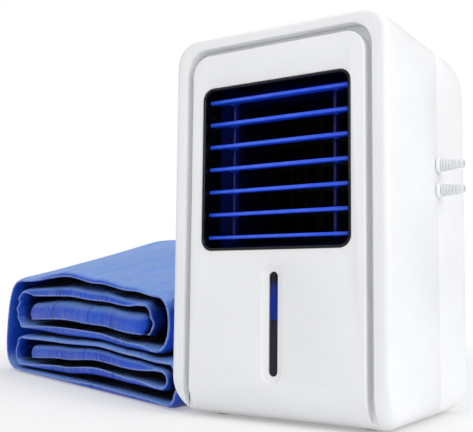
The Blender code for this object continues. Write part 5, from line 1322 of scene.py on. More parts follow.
@dataclass
class WaterOutlets:
    """The two spigots on the seam and the ribbed boots on them."""

    dresser: Dresser
    inner: float = 0.0073
    body: float = 0.0031
    bore: float = 0.0019
    bore_reach: float = 0.02
    flange: float = 0.0049
    flange_edge: Pairs = (
        (0.0, 0.0), (0.0015, 0.0), (0.0021, 0.0003), (0.0025, 0.0009), (0.0026, 0.0016))
    boot_start: float = 0.0032
    boot_length: float = 0.0142
    boot_bore: float = 0.0021
    root: float = 0.0036
    taper: float = 0.0011
    sink: float = 0.0002
    collar: Pairs = ((0.0, 0.0042), (0.35, 0.0042), (0.45, 0.0036))
    ribs: int = 5
    end_rib: float = 0.5
    rib: Pairs = (
        (-0.30, 0.0), (-0.22, 0.000585), (-0.15, 0.00078), (0.15, 0.00078), (0.22, 0.000585), (0.30, 0.0))
    tip: Pairs = (
        (0.0, 0.0026), (0.0004, 0.0028), (0.0014, 0.00285), (0.0024, 0.0027), (0.003, 0.0024))
    spigot_rounding: float = 0.00012
    boot_rounding: float = 0.0001

    def spigot(self) -> Object:
        """Builds the upper spigot: a body through the wall and a flange with a rolled edge.

        Returns:
            The spigot.
        """
        face = self.inner + GAP
        profile = [(0.0, self.body), (face, self.body)]
        profile += [(face + out, self.flange - inset) for out, inset in self.flange_edge]
        start = Vector((HALF_WIDTH - self.inner, OUTLET_DEPTH, OUTLET_HEIGHTS[0]))
        spigot = turned("spigot", profile, start, "X", 48)
        cut(spigot, rod("bore", start, "X", (-OVERRUN, self.bore_reach), self.bore, 32))
        return soften(spigot, self.spigot_rounding, 2)

    def boot(self) -> Object:
        """Builds the upper boot: flat-topped ribs that shrink outwards, and an end collar.

        Returns:
            The boot.
        """
        ribbed = self.boot_length - self.tip[-1][0]
        pitch = ribbed / (self.ribs + self.end_rib)
        profile = [(pitch * part, radius) for part, radius in self.collar]
        for rib in range(self.ribs):
            middle = pitch * (rib + 1)
            root = self.root - self.taper * middle / ribbed - self.sink
            profile += [(middle + pitch * part, root + rise) for part, rise in self.rib]
        profile += [(ribbed + out, radius) for out, radius in self.tip]
        start = Vector((HALF_WIDTH + self.boot_start, OUTLET_DEPTH, OUTLET_HEIGHTS[0]))
        boot = turned("boot", profile, start, "X", 48)
        cut(boot, rod("bore", start, "X", (-OVERRUN, self.bore_reach), self.boot_bore, 32))
        return soften(boot, self.boot_rounding, 2, 34)

    def build(self) -> None:
        """Builds the upper pair and copies it for the lower outlet."""
        patterns = ((self.spigot(), "port", Slot.CASING), (self.boot(), "boot", Slot.WHITE_RUBBER))
        for pattern, kind, slot in patterns:
            for name, height in zip(("supply", "return"), OUTLET_HEIGHTS):
                shift = Vector((0.0, 0.0, height - OUTLET_HEIGHTS[0]))
                piece = copy_of(pattern, f"{name}_{kind}_fitting", shift)
                self.dresser.finish(piece, slot, Body.UNIT.value, [f"{name}_{kind}"])
            bpy.data.objects.remove(pattern, do_unlink=True)


@dataclass
class Filler:
    """The filler neck in the top, with its hinge ears, and the lid on it."""

    dresser: Dresser
    flange: float = 0.020
    neck_height: float = 0.028
    neck_outside: Pairs = ((0.0, 0.0035), (0.004, 0.0035), (0.011, 0.016))
    flange_edge: Pairs = ((0.001, 0.0), (0.00135, 0.00015), (0.0015, 0.0005))
    neck_inside: Pairs = (
        (-0.001, 0.0022), (0.004, 0.0022), (0.011, 0.0142), (0.0292, 0.0142), (0.0298, 0.0148))
    ear_sides: Pair = (0.0048, 0.0068)
    ear_overlap: float = 0.002
    ear_reach: float = 0.002
    ear_corners: Pair = (0.0002, 0.0019)
    hinge_y: float = 0.0715
    hinge_z: float = 0.2479
    hinge_hole_half: float = 0.0071
    hinge_hole_radius: float = 0.0012
    lid_bottom: float = 0.2468
    lid_radius: float = 0.018
    plug: Pairs = ((-0.0026, 0.0135), (-0.0022, 0.0138), (0.0, 0.0138))
    crown: Pairs = (
        (0.0, 0.018), (0.0014, 0.018), (0.0018, 0.0178), (0.002, 0.0174), (0.00215, 0.0148),
        (0.0018, 0.0145), (0.0018, 0.0139), (0.00225, 0.0136), (0.0024, 0.0105), (0.00255, 0.006),
        (0.0026, 0.002))
    hollow: Pair = (0.004, 0.0122)
    knuckle_half: float = 0.0045
    knuckle_reach: float = 0.0016
    knuckle_corners: Pair = (0.0003, 0.0013)
    tab: Span = (0.004, 0.003, 0.0018, 0.0005)
    lid_thickness: float = 0.002
    neck_rounding: float = 0.00015
    lid_rounding: float = 0.00018

    def middle(self, height: float = 0.0) -> Vector:
        """Gives the filler's axis at a height."""
        return Vector((FILLER_X, FILLER_Y, height))

    def hinge_hole(self) -> Object:
        """Makes the cutter of the hole for the hinge pin."""
        start, half = Vector((FILLER_X, self.hinge_y, self.hinge_z)), self.hinge_hole_half
        return rod("hinge_hole", start, "X", (-half, half), self.hinge_hole_radius, 24)

    def neck(self) -> None:
        """Builds the neck: a flange on the casing, a cup, a cone and a spout."""
        low = self.middle(TOP - self.neck_height)
        seat = self.neck_height + GAP
        profile = [*self.neck_outside, (seat, FILLER_RADIUS), (seat, self.flange)]
        profile += [(self.neck_height + up, self.flange - inset) for up, inset in self.flange_edge]
        neck = turned("filler_neck_ring", profile, low, "Z", 72)
        cut(neck, turned("inside", self.neck_inside, low, "Z", 72))
        front = FILLER_Y + self.flange - self.ear_overlap
        half = (self.hinge_y + self.ear_reach - front) / 2
        ear = rounded(half, TOP + GAP, self.hinge_z + self.ear_reach, *self.ear_corners, 6)
        for side in (-1, 1):
            left, right = sorted(FILLER_X + side * reach for reach in self.ear_sides)
            fuse(neck, side_plate("ear", about(ear, front + half, 0.0), left, right))
        cut(neck, self.hinge_hole())
        soften(neck, self.neck_rounding, 2)
        self.dresser.finish(neck, Slot.CASING, Body.UNIT.value, ["filler_neck"])

    def lid(self) -> None:
        """Builds the lid: a crowned disc with a ring groove, a plug, a knuckle and a finger tab."""
        base = self.middle(self.lid_bottom)
        lid = turned("filler_cap", (*self.plug, *self.crown), base, "Z", 72)
        depth, radius = self.hollow
        cut(lid, rod("hollow", base, "Z", (-depth, 0.0), radius, 56))
        half_width = self.knuckle_half
        front = FILLER_Y + self.lid_radius - half_width
        half = (self.hinge_y + self.knuckle_reach - front) / 2
        top = self.hinge_z + self.knuckle_reach
        knuckle = about(rounded(half, self.lid_bottom, top, *self.knuckle_corners, 6), front + half, 0.0)
        fuse(lid, side_plate("knuckle", knuckle, FILLER_X - half_width, FILLER_X + half_width))
        half, reach, low_corner, high_corner = self.tab
        tab = rounded(half, -reach, reach, low_corner, high_corner, 6)
        heights = (self.lid_bottom + GAP, self.lid_bottom + self.lid_thickness - GAP)
        place = (FILLER_X, FILLER_Y - self.lid_radius)
        fuse(lid, loft("tab", [level_ring(tab, high, place) for high in heights]))
        cut(lid, self.hinge_hole())
        soften(lid, self.lid_rounding, 2)
        self.dresser.finish(lid, Slot.CASING, Body.LID.value, ["filler_lid"])

    def build(self) -> None:
        """Builds the neck and the lid."""
        self.neck()
        self.lid()


@dataclass
class Controls:
    """The control panel in the top and its three buttons."""

    dresser: Dresser
    half_width: float = 0.031
    half_depth: float = 0.017
    top: float = 0.2454
    edge: Pairs = (
        (0.0, -0.0043), (0.0, -0.0003), (-0.0001, -0.0001), (-0.0004, 0.0))
    ledge: float = 0.003
    ledge_heights: Pair = (0.24, 0.2422)
    posts: Pair = (0.027, 0.013)
    post_bottom: float = 0.2313
    post: Pair = (0.0096, 0.002)
    button_pitch: float = 0.018
    hole: Pairs = (
        (-0.0094, 0.005), (-0.0005, 0.005), (-0.0004, 0.006), (-0.0001, 0.0073), (0.001, 0.0078))
    button: Pairs = (
        (-0.0103, 0.0015), (-0.0071, 0.0015), (-0.0071, 0.0061), (-0.0057, 0.0061), (-0.0057, 0.0047),
        (0.0006, 0.0047), (0.00095, 0.00458), (0.00115, 0.0043), (0.0012, 0.0038), (0.00108, 0.0031),
        (0.0009, 0.0016), (0.00087, 0.0004))
    panel_rounding: float = 0.00015
    button_rounding: float = 0.00008

    def ring(self, grow: float, height: float) -> Ring:
        """Draws the panel's outline at a height.

        Args:
            grow: how much wider than the panel it is on every side.
            height: its height.

        Returns:
            The ring's points.
        """
        depth, radius = self.half_depth + grow, CONTROLS_CORNER + grow
        outline = rounded(self.half_width + grow, -depth, depth, radius, radius)
        return level_ring(outline, height, (CONTROLS_X, CONTROLS_Y))

    def button_place(self, number: int) -> Vector:
        """Gives a button's middle at the panel's top, numbered from the middle one."""
        return Vector((CONTROLS_X + number * self.button_pitch, CONTROLS_Y, self.top))

    def panel(self) -> None:
        """Builds the panel with its ledge, its posts, the button holes and a dish round each."""
        panel = loft("control_plate", [self.ring(grow, self.top + up) for grow, up in self.edge])
        fuse(panel, loft("ledge", [self.ring(self.ledge, high) for high in self.ledge_heights]))
        across, along = self.posts
        length, radius = self.post
        for x in (CONTROLS_X - across, CONTROLS_X + across):
            for y in (CONTROLS_Y - along, CONTROLS_Y + along):
                fuse(panel, rod("post", Vector((x, y, self.post_bottom)), "Z", (0.0, length), radius, 24))
        for number in (-1, 0, 1):
            cut(panel, turned("button_hole", self.hole, self.button_place(number), "Z", 56))
        soften(panel, self.panel_rounding, 2)
        self.dresser.finish(panel, Slot.CASING, Body.UNIT.value, ["control_panel"])

    def buttons(self) -> None:
        """Builds one domed button with its skirt and stem, and copies it."""
        pattern = turned("button", self.button, self.button_place(-1), "Z", 56)
        soften(pattern, self.button_rounding, 2)
        for number, body in enumerate((Body.POWER, Body.FAN, Body.TIMER)):
            button = copy_of(pattern, f"{body.value}_cap", Vector((self.button_pitch * number, 0.0, 0.0)))
            self.dresser.finish(button, Slot.CASING, body.value, [body.value])
        bpy.data.objects.remove(pattern, do_unlink=True)

    def build(self) -> None:
        """Builds the panel and the buttons."""
        self.panel()
        self.buttons()


@dataclass
class Back:
    """The intake grille and the power socket in the rear wall."""

    dresser: Dresser
    rim: float = 0.004
    rows: int = 6
    columns: int = 2
    bar: float = 0.004
    slot_share: float = 0.45
    flange: float = 0.003
    flange_thickness: float = 0.002
    socket: Pairs = (
        (-0.012, 0.0045), (0.0003, 0.0045), (0.0003, 0.0062), (0.0009, 0.0062), (0.0012, 0.006),
        (0.0013, 0.0056))
    socket_bore: Pairs = ((-0.0077, 0.00275), (0.001, 0.00275), (0.0014, 0.0032))
    socket_pin: Pairs = ((-0.0085, 0.0009), (-0.0006, 0.0009), (-0.0003, 0.0006))
    grille_rounding: float = 0.0004
    socket_rounding: float = 0.0001

    def square(self, name: str, half: float, corner: float, front: float, back: float) -> Object:
        """Extrudes a square with round corners, about the grille's middle."""
        outline = rounded(half, WINDOW_MIDDLE - half, WINDOW_MIDDLE + half, corner, corner)
        return plate(name, outline, front, back)

    def slots(self, front: float) -> list[Object]:
        """Makes the cutters of the grille's slots.

        Args:
            front: the grille's front, inside the casing.

        Returns:
            The cutters.
        """
        cutters = []
        half = GRILLE_HALF - self.rim
        width = (2 * half - (self.columns - 1) * self.bar) / self.columns
        height = (2 * half - (self.rows - 1) * self.bar) / self.rows
        radius = height * self.slot_share
        for column in range(self.columns):
            centre = -half + column * (width + self.bar) + width / 2
            for row in range(self.rows):
                low = WINDOW_MIDDLE - half + row * (height + self.bar)
                slot = about(rounded(width / 2, low, low + height, radius, radius, 8), centre, 0.0)
                cutters.append(plate("slot", slot, front - OVERRUN, REAR + OVERRUN))
        return cutters

    def grille(self) -> None:
        """Builds the grille: a plate with rounded slots, bevelled bars and a flange behind."""
        inner = REAR - WALL - GAP
        front = inner - self.flange_thickness
        grille = self.square("rear_grille", GRILLE_HALF, GRILLE_CORNER, front, REAR + GAP)
        fuse(grille, self.square("flange", GRILLE_HALF + self.flange, GRILLE_CORNER, front, inner))
        hollow = GRILLE_HALF - self.rim / 2
        cut(grille, self.square("hollow", hollow, self.rim, front - OVERRUN, inner - GAP))
        cut(grille, *self.slots(front))
        soften(grille, self.grille_rounding, 3)
        self.dresser.finish(grille, Slot.CASING, Body.UNIT.value, ["intake_grille"])

    def inlet(self) -> None:
        """Builds the round socket with its flange, its bore and the pin in the bore."""
        place = Vector((SOCKET_X, REAR, SOCKET_HEIGHT))
        socket = turned("power_socket", self.socket, place, "Y", 48)
        cut(socket, turned("bore", self.socket_bore, place, "Y", 40))
        fuse(socket, turned("pin", self.socket_pin, place, "Y", 20))
        soften(socket, self.socket_rounding, 2)
        self.dresser.finish(socket, Slot.BLACK, Body.UNIT.value, ["power_inlet"])

    def build(self) -> None:
        """Builds the grille and the socket."""
        self.grille()
        self.inlet()


@dataclass
class CoreFins:
    """The thin wavy fins between the tubes of the heat exchanger."""

    dresser: Dresser
    front: float = 0.0663
    depth: float = 0.0237
    margin: float = 0.0006
    half_width: float = 0.0335
    half_height: float = 0.0395
    tubes: int = 4
    tube: float = 0.0022
    dividers: int = 5
    divider: float = 0.0011
    per_gap: int = 5
    thickness: float = 0.00024
    wave: float = 0.0008
    waves: int = 2
    steps: int = 12
    entry: float = 0.0001

    def fin(self, across: float, low: float, high: float) -> Object:
        """Builds one fin, wavy from front to back, with thin edges.

        Args:
            across: its place.
            low, high: its lower and upper ends.

        Returns:
            The fin.
        """
        rings = []
        for step in range(self.steps + 1):
            share = step / self.steps
            middle = across + self.wave * math.sin(math.tau * self.waves * share)
            half = self.thickness / (4 if step in (0, self.steps) else 2)
            depth = self.front + self.margin + (self.depth - 2 * self.margin) * share
            corners = ((-half, low), (half, low), (half, high), (-half, high))
            rings.append([Vector((middle + side, depth, up)) for side, up in corners])
        return loft("core_fins", rings)

    def repeat(self, obj: Object, along: Vector, count: int) -> None:
        """Repeats the fins along a direction.

        Args:
            obj: the fins so far.
            along: the way from each to the next.
            count: how many there are then.
        """
        array = obj.modifiers.new("repeat", "ARRAY")
        array.use_relative_offset = False
        array.use_constant_offset = True
        array.constant_offset_displace = along
        array.count = count
        select_only(obj)
        bpy.ops.object.modifier_apply(modifier=array.name)

    def build(self) -> None:
        """Builds the first fin and repeats it in each gap, across the core and up it."""
        width = (2 * self.half_width - self.dividers * self.divider) / (self.dividers + 1)
        height = (2 * self.half_height - self.tubes * self.tube) / (self.tubes + 1)
        low = WINDOW_MIDDLE - self.half_height
        pitch = width / (self.per_gap + 1)
        fins = self.fin(-self.half_width + pitch, low - self.entry, low + height + self.entry)
        self.repeat(fins, Vector((pitch, 0.0, 0.0)), self.per_gap)
        self.repeat(fins, Vector((width + self.divider, 0.0, 0.0)), self.dividers + 1)
        self.repeat(fins, Vector((0.0, 0.0, height + self.tube)), self.tubes + 1)
        soften(fins, 0.0, angle=40)
        self.dresser.finish(fins, Slot.CORE, Body.UNIT.value)


class NylonWeave(Effect):
    """A plain weave of fine yarns, with a thicker yarn now and then."""

    title = "nylon_weave"
    takes = (("Place", "NodeSocketVector", None), ("Yarns", "NodeSocketFloat", 2400.0))
    gives = (("Height", "NodeSocketFloat"), ("Tint", "NodeSocketFloat"))
    slub_scale = (40.0, 900.0, 1.0)
    slub_range = (0.35, 0.65)

    @classmethod
    def fill(cls, graph: Graph, given: Sockets) -> dict[str, Socket]:
        """Crosses two sets of yarns.

        Args:
            graph: the group's graph.
            given: the group's inputs.

        Returns:
            The group's outputs.
        """
        parts = graph.add("ShaderNodeSeparateXYZ", {0: given["Place"]}).outputs
        turns = (graph.math("MULTIPLY", parts[axis], given["Yarns"]) for axis in "XY")
        along, across = (graph.math("SINE", turn) for turn in turns)
        slub = graph.add("ShaderNodeMapping", {"Vector": given["Place"], "Scale": cls.slub_scale})
        streak = graph.noise(slub.outputs[0], 1.0, 2.0)
        height = graph.math("MULTIPLY", graph.math("MULTIPLY", along, across), 0.5)
        return {"Height": height, "Tint": graph.remap(streak, *cls.slub_range)}


class SoftCreases(Effect):
    """Long soft wrinkles and a few sharper ones, as thin coated cloth takes when folded."""

    title = "soft_creases"
    takes = (("Place", "NodeSocketVector", None), ("Density", "NodeSocketFloat", 26.0))
    gives = (("Height", "NodeSocketFloat"),)
    bend_scale = 9.0
    bend = (0.06, 0.06, 0.06)
    stretch = (1.0, 0.35, 1.0)
    ridge_scale = 34.0
    ridge_width = 0.035
    ridge_height = 0.16
    gate_scale = 14.0
    gate_range = (0.46, 0.62)

    @classmethod
    def fill(cls, graph: Graph, given: Sockets) -> dict[str, Socket]:
        """Bends a stretched noise and ridges it.

        Args:
            graph: the group's graph.
            given: the group's inputs.

        Returns:
            The group's outputs.
        """
        place = given["Place"]
        bend = graph.add("ShaderNodeTexNoise", {"Vector": place, "Scale": cls.bend_scale, "Detail": 2.0})
        parts = {0: bend.outputs["Color"], 1: cls.bend}
        shifted = graph.add("ShaderNodeVectorMath", parts, operation="MULTIPLY").outputs[0]
        moved = graph.add("ShaderNodeVectorMath", {0: place, 1: shifted}, operation="ADD").outputs[0]
        long = graph.add("ShaderNodeMapping", {"Vector": moved, "Scale": cls.stretch}).outputs[0]
        broad = graph.noise(long, given["Density"], 3.0, 0.55)
        ridge = graph.math("ABSOLUTE", graph.math("SUBTRACT", graph.noise(moved, cls.ridge_scale, 2.0), 0.5))
        sharp = graph.remap(ridge, 0.0, cls.ridge_width, 1.0, 0.0)
        gate = graph.remap(graph.noise(place, cls.gate_scale, 2.0), *cls.gate_range)
        ridges = graph.math("MULTIPLY", graph.math("MULTIPLY", sharp, gate), cls.ridge_height)
        return {"Height": graph.math("ADD", broad, ridges)}


@dataclass(frozen=True)
class NylonFinish:
    """Coated nylon cloth: weave, wrinkles and pressed creases on the cloth's map, with painted shade, top
    light and rim highlights.
    """

    name: str
    deep: Colour
    light: Colour
    # painted highlight: the pale tint along the cloth's rims
    edge: Colour
    # painted shade: the dark tint deep in the folds and in the pressed creases
    hollow: Colour
    # painted light: the paler tint of the upward faces
    painted_top_light: Colour
    roughness: Pair = (0.32, 0.46)
    yarns: float = 12000.0
    presses: tuple[float, ...] = ()
    fade_scale: float = 22.0
    top_light_range: Span = (0.3, 0.88, 0.0, 0.8)
    weave_tint: float = 0.05
    rim_range: Span = (0.0002, 0.0012, 0.55, 0.0)
    break_scale: float = 240.0
    break_range: Span = (0.3, 0.6, 0.35, 1.0)
    hollow_range: Span = (0.42, 0.88, 0.0, 0.98)
    press_fade: Pair = (0.012, 0.035)
    press_wander: float = 0.004
    press_scale: float = 70.0
    press_width: float = 0.0013
    press_height: float = 0.2
    # share of painted shade in each pressed crease
    press_shade: float = 0.45
    wrinkle_bump: Pair = (0.0068, 0.85)
    weave_bump: Pair = (0.000006, 0.6)
    rough_scale: float = 60.0
    sheen: float = 0.03
    sheen_roughness: float = 0.35
    sheen_tint: Span = (0.75, 0.82, 1.0, 1.0)
    specular: float = 0.22

    def cloth_colour(self, graph: Graph, cloth: Socket, weave: Socket) -> Socket:
        """Mixes the cloth's colour: soft patches, painted light on the upward faces and painted highlights on
        the rims.

        Args:
            graph: the material's graph.
            cloth: the cloth's map.
            weave: the weave's tint.

        Returns:
            The colour.
        """
        place = object_place(graph)
        fade = graph.remap(graph.noise(place, self.fade_scale, 3.0), 0.3, 0.7)
        colour = graph.mix(fade, self.deep, self.light)
        shape = graph.add("ShaderNodeNewGeometry").outputs["Normal"]
        upward = graph.add("ShaderNodeSeparateXYZ", {0: shape}).outputs["Z"]
        # painted light: upward faces take the paler top tint
        colour = graph.mix(graph.remap(upward, *self.top_light_range), colour, self.painted_top_light)
        colour = graph.mix(graph.math("MULTIPLY", weave, self.weave_tint), colour, self.light)
        inward = graph.add("ShaderNodeSeparateXYZ", {0: cloth}).outputs["Y"]
        # painted highlight: a pale broken line along each rim
        rim = graph.remap(inward, *self.rim_range)
        broken = graph.remap(graph.noise(place, self.break_scale, 4.0, 0.7), *self.break_range)
        return graph.mix(graph.math("MULTIPLY", rim, broken), colour, self.edge)

    def press(self, graph: Graph, cloth: Socket, colour: Socket, height: Socket) -> tuple[Socket, Socket]:
        """Draws the pressed creases of earlier folds near the front edge, as dents in the bump and lines of
        painted shade.

        Args:
            graph: the material's graph.
            cloth: the cloth's map.
            colour, height: the cloth's colour and height so far.

        Returns:
            The colour and the height with the creases.
        """
        parts = graph.add("ShaderNodeSeparateXYZ", {0: cloth}).outputs
        near = graph.remap(parts["Y"], *self.press_fade, 1.0, 0.0)
        for along in self.presses:
            wander = graph.math("MULTIPLY", graph.noise(cloth, self.press_scale, 2.0), self.press_wander)
            gap = graph.math("SUBTRACT", graph.math("ADD", parts["X"], wander), along)
            line = graph.remap(graph.math("ABSOLUTE", gap), 0.0, self.press_width, 1.0, 0.0)
            line = graph.math("MULTIPLY", line, near)
            height = graph.math("SUBTRACT", height, graph.math("MULTIPLY", line, self.press_height))
            # painted shade along each crease
            colour = graph.mix(graph.math("MULTIPLY", line, self.press_shade), colour, self.hollow)
        return colour, height

    def make(self) -> bpy.types.Material:
        """Builds the material.

        Returns:
            The material, whose pattern follows the cloth.
        """
        material = bpy.data.materials.new(self.name)
        material.use_nodes = True
        graph = Graph(material.node_tree)
        shader = material.node_tree.nodes["Principled BSDF"]
        cloth = graph.add("ShaderNodeUVMap", uv_map="cloth").outputs["UV"]
        weave = NylonWeave.place(graph, Place=cloth, Yarns=self.yarns)
        colour = self.cloth_colour(graph, cloth, weave["Tint"])
        colour, height = self.press(graph, cloth, colour, SoftCreases.place(graph, Place=cloth)["Height"])
        # painted shade: darkens the cloth where the folds close round it
        hollow = graph.add("ShaderNodeAttribute", attribute_name="painted_fold_shade").outputs["Fac"]
        colour = graph.mix(graph.remap(hollow, *self.hollow_range), colour, self.hollow)
        normal = None
        for bump, (distance, strength) in ((height, self.wrinkle_bump), (weave["Height"], self.weave_bump)):
            inputs = {"Height": bump, "Distance": distance, "Strength": strength}
            node = graph.add("ShaderNodeBump", inputs | ({"Normal": normal} if normal else {}))
            normal = node.outputs["Normal"]
        rough = graph.remap(graph.noise(cloth, self.rough_scale, 4.0), 0.3, 0.7, *self.roughness)
        links = material.node_tree.links
        links.new(colour, shader.inputs["Base Color"])
        links.new(rough, shader.inputs["Roughness"])
        links.new(normal, shader.inputs["Normal"])
        shader.inputs["Sheen Weight"].default_value = self.sheen
        shader.inputs["Sheen Roughness"].default_value = self.sheen_roughness
        shader.inputs["Sheen Tint"].default_value = self.sheen_tint
        shader.inputs["Specular IOR Level"].default_value = self.specular
        return material


MILLIMETRE = 0.001
GOLDEN_ANGLE = math.pi * (3 - math.sqrt(5))


def eased(share: float) -> float:
    """Turns an even share from 0 to 1 into one that starts and ends softly."""
    return share * share * (3 - 2 * share)


@dataclass(frozen=True)
class Strand:
    """One place along the strip's length: in a layer, or in the fold from one layer to another."""

    layer: int
    after: int
    along: float
    reach: float = 0.0
    power: float = 2.0
    side: int = 1
    angle: float = -1.0


@dataclass
class FoldedPad:
    """The long padded strip, folded in eleven layers, its front edges curled as cloth edges do."""

    dresser: Dresser
    thickness: float = 0.005
    layer_gap: float = 0.001
    floor_gap: float = 0.00004
    front_height: float = 0.096
    back_height: float = 0.139
    length: float = 0.3305
    depth: float = 0.167
    turn: float = math.radians(-22.7)
    side_gap: float = 0.004
    tip_y: float = 0.014
    lean: float = 0.010
    sag: float = 0.12
    full_thickness: float = 0.0092
    run_steps: int = 34
    fold_steps: int = 18
    rows: int = 46
    looks: int = 14
    curl_rows: int = 10
    recess: float = 0.0075
    rim_length: float = 0.007
    rim_share: float = 0.22
    pleat: float = 0.0028
    pressed: tuple[tuple[int, float], ...] = (
        (8, 0.300), (8, 0.318), (8, 0.54), (9, 0.33), (9, 0.345), (9, 0.42), (1, 0.42), (1, 0.46), (1, 0.70),
        (0, 0.60), (5, 0.75), (3, 0.52))
    stations: tuple[float, ...] = (0.12, 0.39, 0.60, 0.79, 0.91)
    loose: tuple[tuple[float, ...], ...] = (
        (0.00, 0.00, 0.00, 0.00, 0.00), (0.00, 0.05, 0.18, 0.16, 0.14), (0.03, 0.18, 0.30, 0.20, 0.14),
        (0.15, 0.24, 0.31, 0.20, 0.14), (0.24, 0.27, 0.31, 0.20, 0.14), (0.37, 0.32, 0.31, 0.20, 0.16),
        (0.42, 0.48, 0.43, 0.29, 0.25), (0.42, 0.49, 0.43, 0.29, 0.25), (0.44, 0.52, 0.44, 0.31, 0.27),
        (0.69, 0.73, 0.61, 0.43, 0.38), (0.86, 1.00, 0.79, 0.58, 0.43),
    )
    curls: dict[int, tuple[float, ...]] = field(default_factory=lambda: {
        10: (-0.4, -2.0, -2.0, -1.2, 0.0), 9: (-4.4, -5.0, -4.4, -2.4, -1.4),
        8: (-12.6, -13.2, -12.6, -12.6, -12.4), 5: (1.2, 4.6, 3.6, 2.2, 2.0),
        3: (-9.6, -8.2, -6.6, -5.0, -1.8), 1: (0.8, 3.4, 3.8, 2.0, 1.0), 0: (0.0, 0.4, 2.2, 1.4, 1.0),
    })
    hidden: tuple[int, ...] = (7, 6, 2)
    closed: tuple[tuple[int, float], ...] = ((8, 0.150), (8, 0.826), (3, 0.166))
    folds: tuple[tuple[int, float, float, float], ...] = (
        (7, 0.826, 0.016, 2.0), (8, 0.150, 0.019, 2.0), (6, 0.835, 0.040, 2.2), (9, 0.092, 0.048, 2.2),
        (5, 0.905, 0.058, 2.2), (10, 0.066, 0.097, 2.8), (0, 0.955, 0.045, 2.2), (4, 0.085, 0.040, 2.2),
        (1, 0.930, 0.031, 2.0), (3, 0.166, 0.015, 2.0),
    )
    crumpled: tuple[frozenset, ...] = (
        frozenset({6, 9}), frozenset({9, 5}), frozenset({4, 1}), frozenset({0, 4}))
    outer: frozenset = frozenset({0, 10})
    flaps: tuple[tuple[int, int], ...] = ((8, 6), (3, 2))
    first: float = 0.21
    last: float = 0.56
    last_layer: int = 2
    fuller_from: float = 0.05
    fuller_over: float = 0.6
    curl_fade: float = 0.075
    curl_full: float = 0.003
    curl_depth: float = 0.35
    curl_way: float = 0.8
    curl_power: float = 2.4
    closed_reach: float = 0.6
    closed_pace: float = 3.0
    way_back: float = 0.3
    ripple_scale: Triple = (17.0, 11.0, 3.7)
    ripples: Pairs = ((1.0, 0.0011), (2.9, 0.0004))
    ripple_edge: Pair = (0.35, 0.05)
    pleat_scale: Triple = (130.0, 60.0, 8.1)
    pleat_way: float = 0.03
    end_taper: tuple[float, ...] = (0.45, 0.74, 0.91, 1.0)
    look_start: float = 0.0004
    look_reach: float = 0.06
    smooth_angle: float = 75.0
    seed: int = 7

    def at_stations(self, values: Sequence[float], along: float) -> float:
        """Blends five values that are given at the stations.

        Args:
            values: a value for each station.
            along: the share of the pad's length.

        Returns:
            The value there.
        """
        if along <= self.stations[0]:
            return values[0]
        for index in range(1, len(self.stations)):
            start, end = self.stations[index - 1], self.stations[index]
            if along <= end:
                part = eased((along - start) / (end - start))
                return values[index - 1] + (values[index] - values[index - 1]) * part
        return values[-1]

    def height(self, layer: int, along: float, back: float) -> float:
        """Finds how high a layer's middle lies.

        Args:
            layer: the layer, from the lowest.
            along: the share of the pad's length.
            back: the share of its depth, from the front.

        Returns:
            The height.
        """
        count = len(self.loose)
        packed = self.floor_gap + count * self.thickness + (count - 1) * self.layer_gap
        total = self.front_height + (self.back_height - self.front_height) * back
        total *= 1 - self.sag * back * max(along, 0.0) ** 2
        even = layer / (count - 1)
        share = self.at_stations(self.loose[layer], along) * (1 - back) + even * back
        low = self.floor_gap + self.thickness / 2 + layer * (self.thickness + self.layer_gap)
        fuller = (self.wall(back) - self.thickness) / 2 * (1 - 2 * even)
        return low + (total - packed) * share + fuller

    def wall(self, back: float) -> float:
        """Gives the cloth's thickness: flat at the front and fuller towards the back."""
        share = eased(min(max((back - self.fuller_from) / self.fuller_over, 0.0), 1.0))
        return self.thickness + (self.full_thickness - self.thickness) * share

    def strands(self) -> list[Strand]:
        """Lists the places along the strip, from one loose end to the other.

        Returns:
            The places in order.
        """
        places = []
        start = self.first
        for index, (layer, turn, reach, power) in enumerate(self.folds):
            for step in range(self.run_steps + 1):
                places.append(Strand(layer, layer, start + (turn - start) * step / self.run_steps))
            final = index == len(self.folds) - 1
            after = self.last_layer if final else self.folds[index + 1][0]
            side = 1 if turn > start else -1
            for step in range(1, self.fold_steps):
                angle = math.pi * step / self.fold_steps
                places.append(Strand(layer, after, turn, reach, power, side, angle))
            start = turn
        for step in range(self.run_steps + 1):
            along = start + (self.last - start) * step / self.run_steps
            places.append(Strand(self.last_layer, self.last_layer, along))
        return places

    def middle_line(self, strand: Strand, back: float) -> Pair:
        """Follows the strip's middle through its layers and folds.

        Args:
            strand: the place along the strip.
            back: the share of the depth, from the front.

        Returns:
            How far along the pad it is, and how high.
        """
        if strand.angle < 0:
            return strand.along * self.length, self.height(strand.layer, strand.along, back)
        start = self.height(strand.layer, strand.along, back)
        end = self.height(strand.after, strand.along, back)
        middle, half = (start + end) / 2, (start - end) / 2
        out = math.sin(strand.angle) ** (2 / strand.power)
        rise = math.cos(strand.angle)
        high = middle + half * math.copysign(abs(rise) ** (2 / strand.power), rise)
        lean = 0.0
        if {strand.layer, strand.after} == self.outer:
            lean = self.lean * out * (1 - high / max(start, end))
        return (strand.along + strand.side * strand.reach * out) * self.length - lean, high

    def curl(self, strand: Strand) -> Pair:
        """Curls a strand's front edge, as loose cloth edges do.

        Args:
            strand: the place along the strip.

        Returns:
            How far it curls along the pad and upwards.
        """
        if strand.angle >= 0:
            return self.closed_end(strand)
        if strand.layer not in self.curls:
            return 0.0, 0.0
        turns = [turn for layer, turn, _, _ in self.folds if layer == strand.layer]
        turns += [self.folds[index - 1][1] for index, fold in enumerate(self.folds)
                  if fold[0] == strand.layer and index]
        fade = 1.0
        for turn in turns:
            if (strand.layer, turn) not in self.closed:
                fade *= eased(min(abs(strand.along - turn) / self.curl_fade, 1.0))
        return 0.0, self.at_stations(self.curls[strand.layer], strand.along) * MILLIMETRE * fade

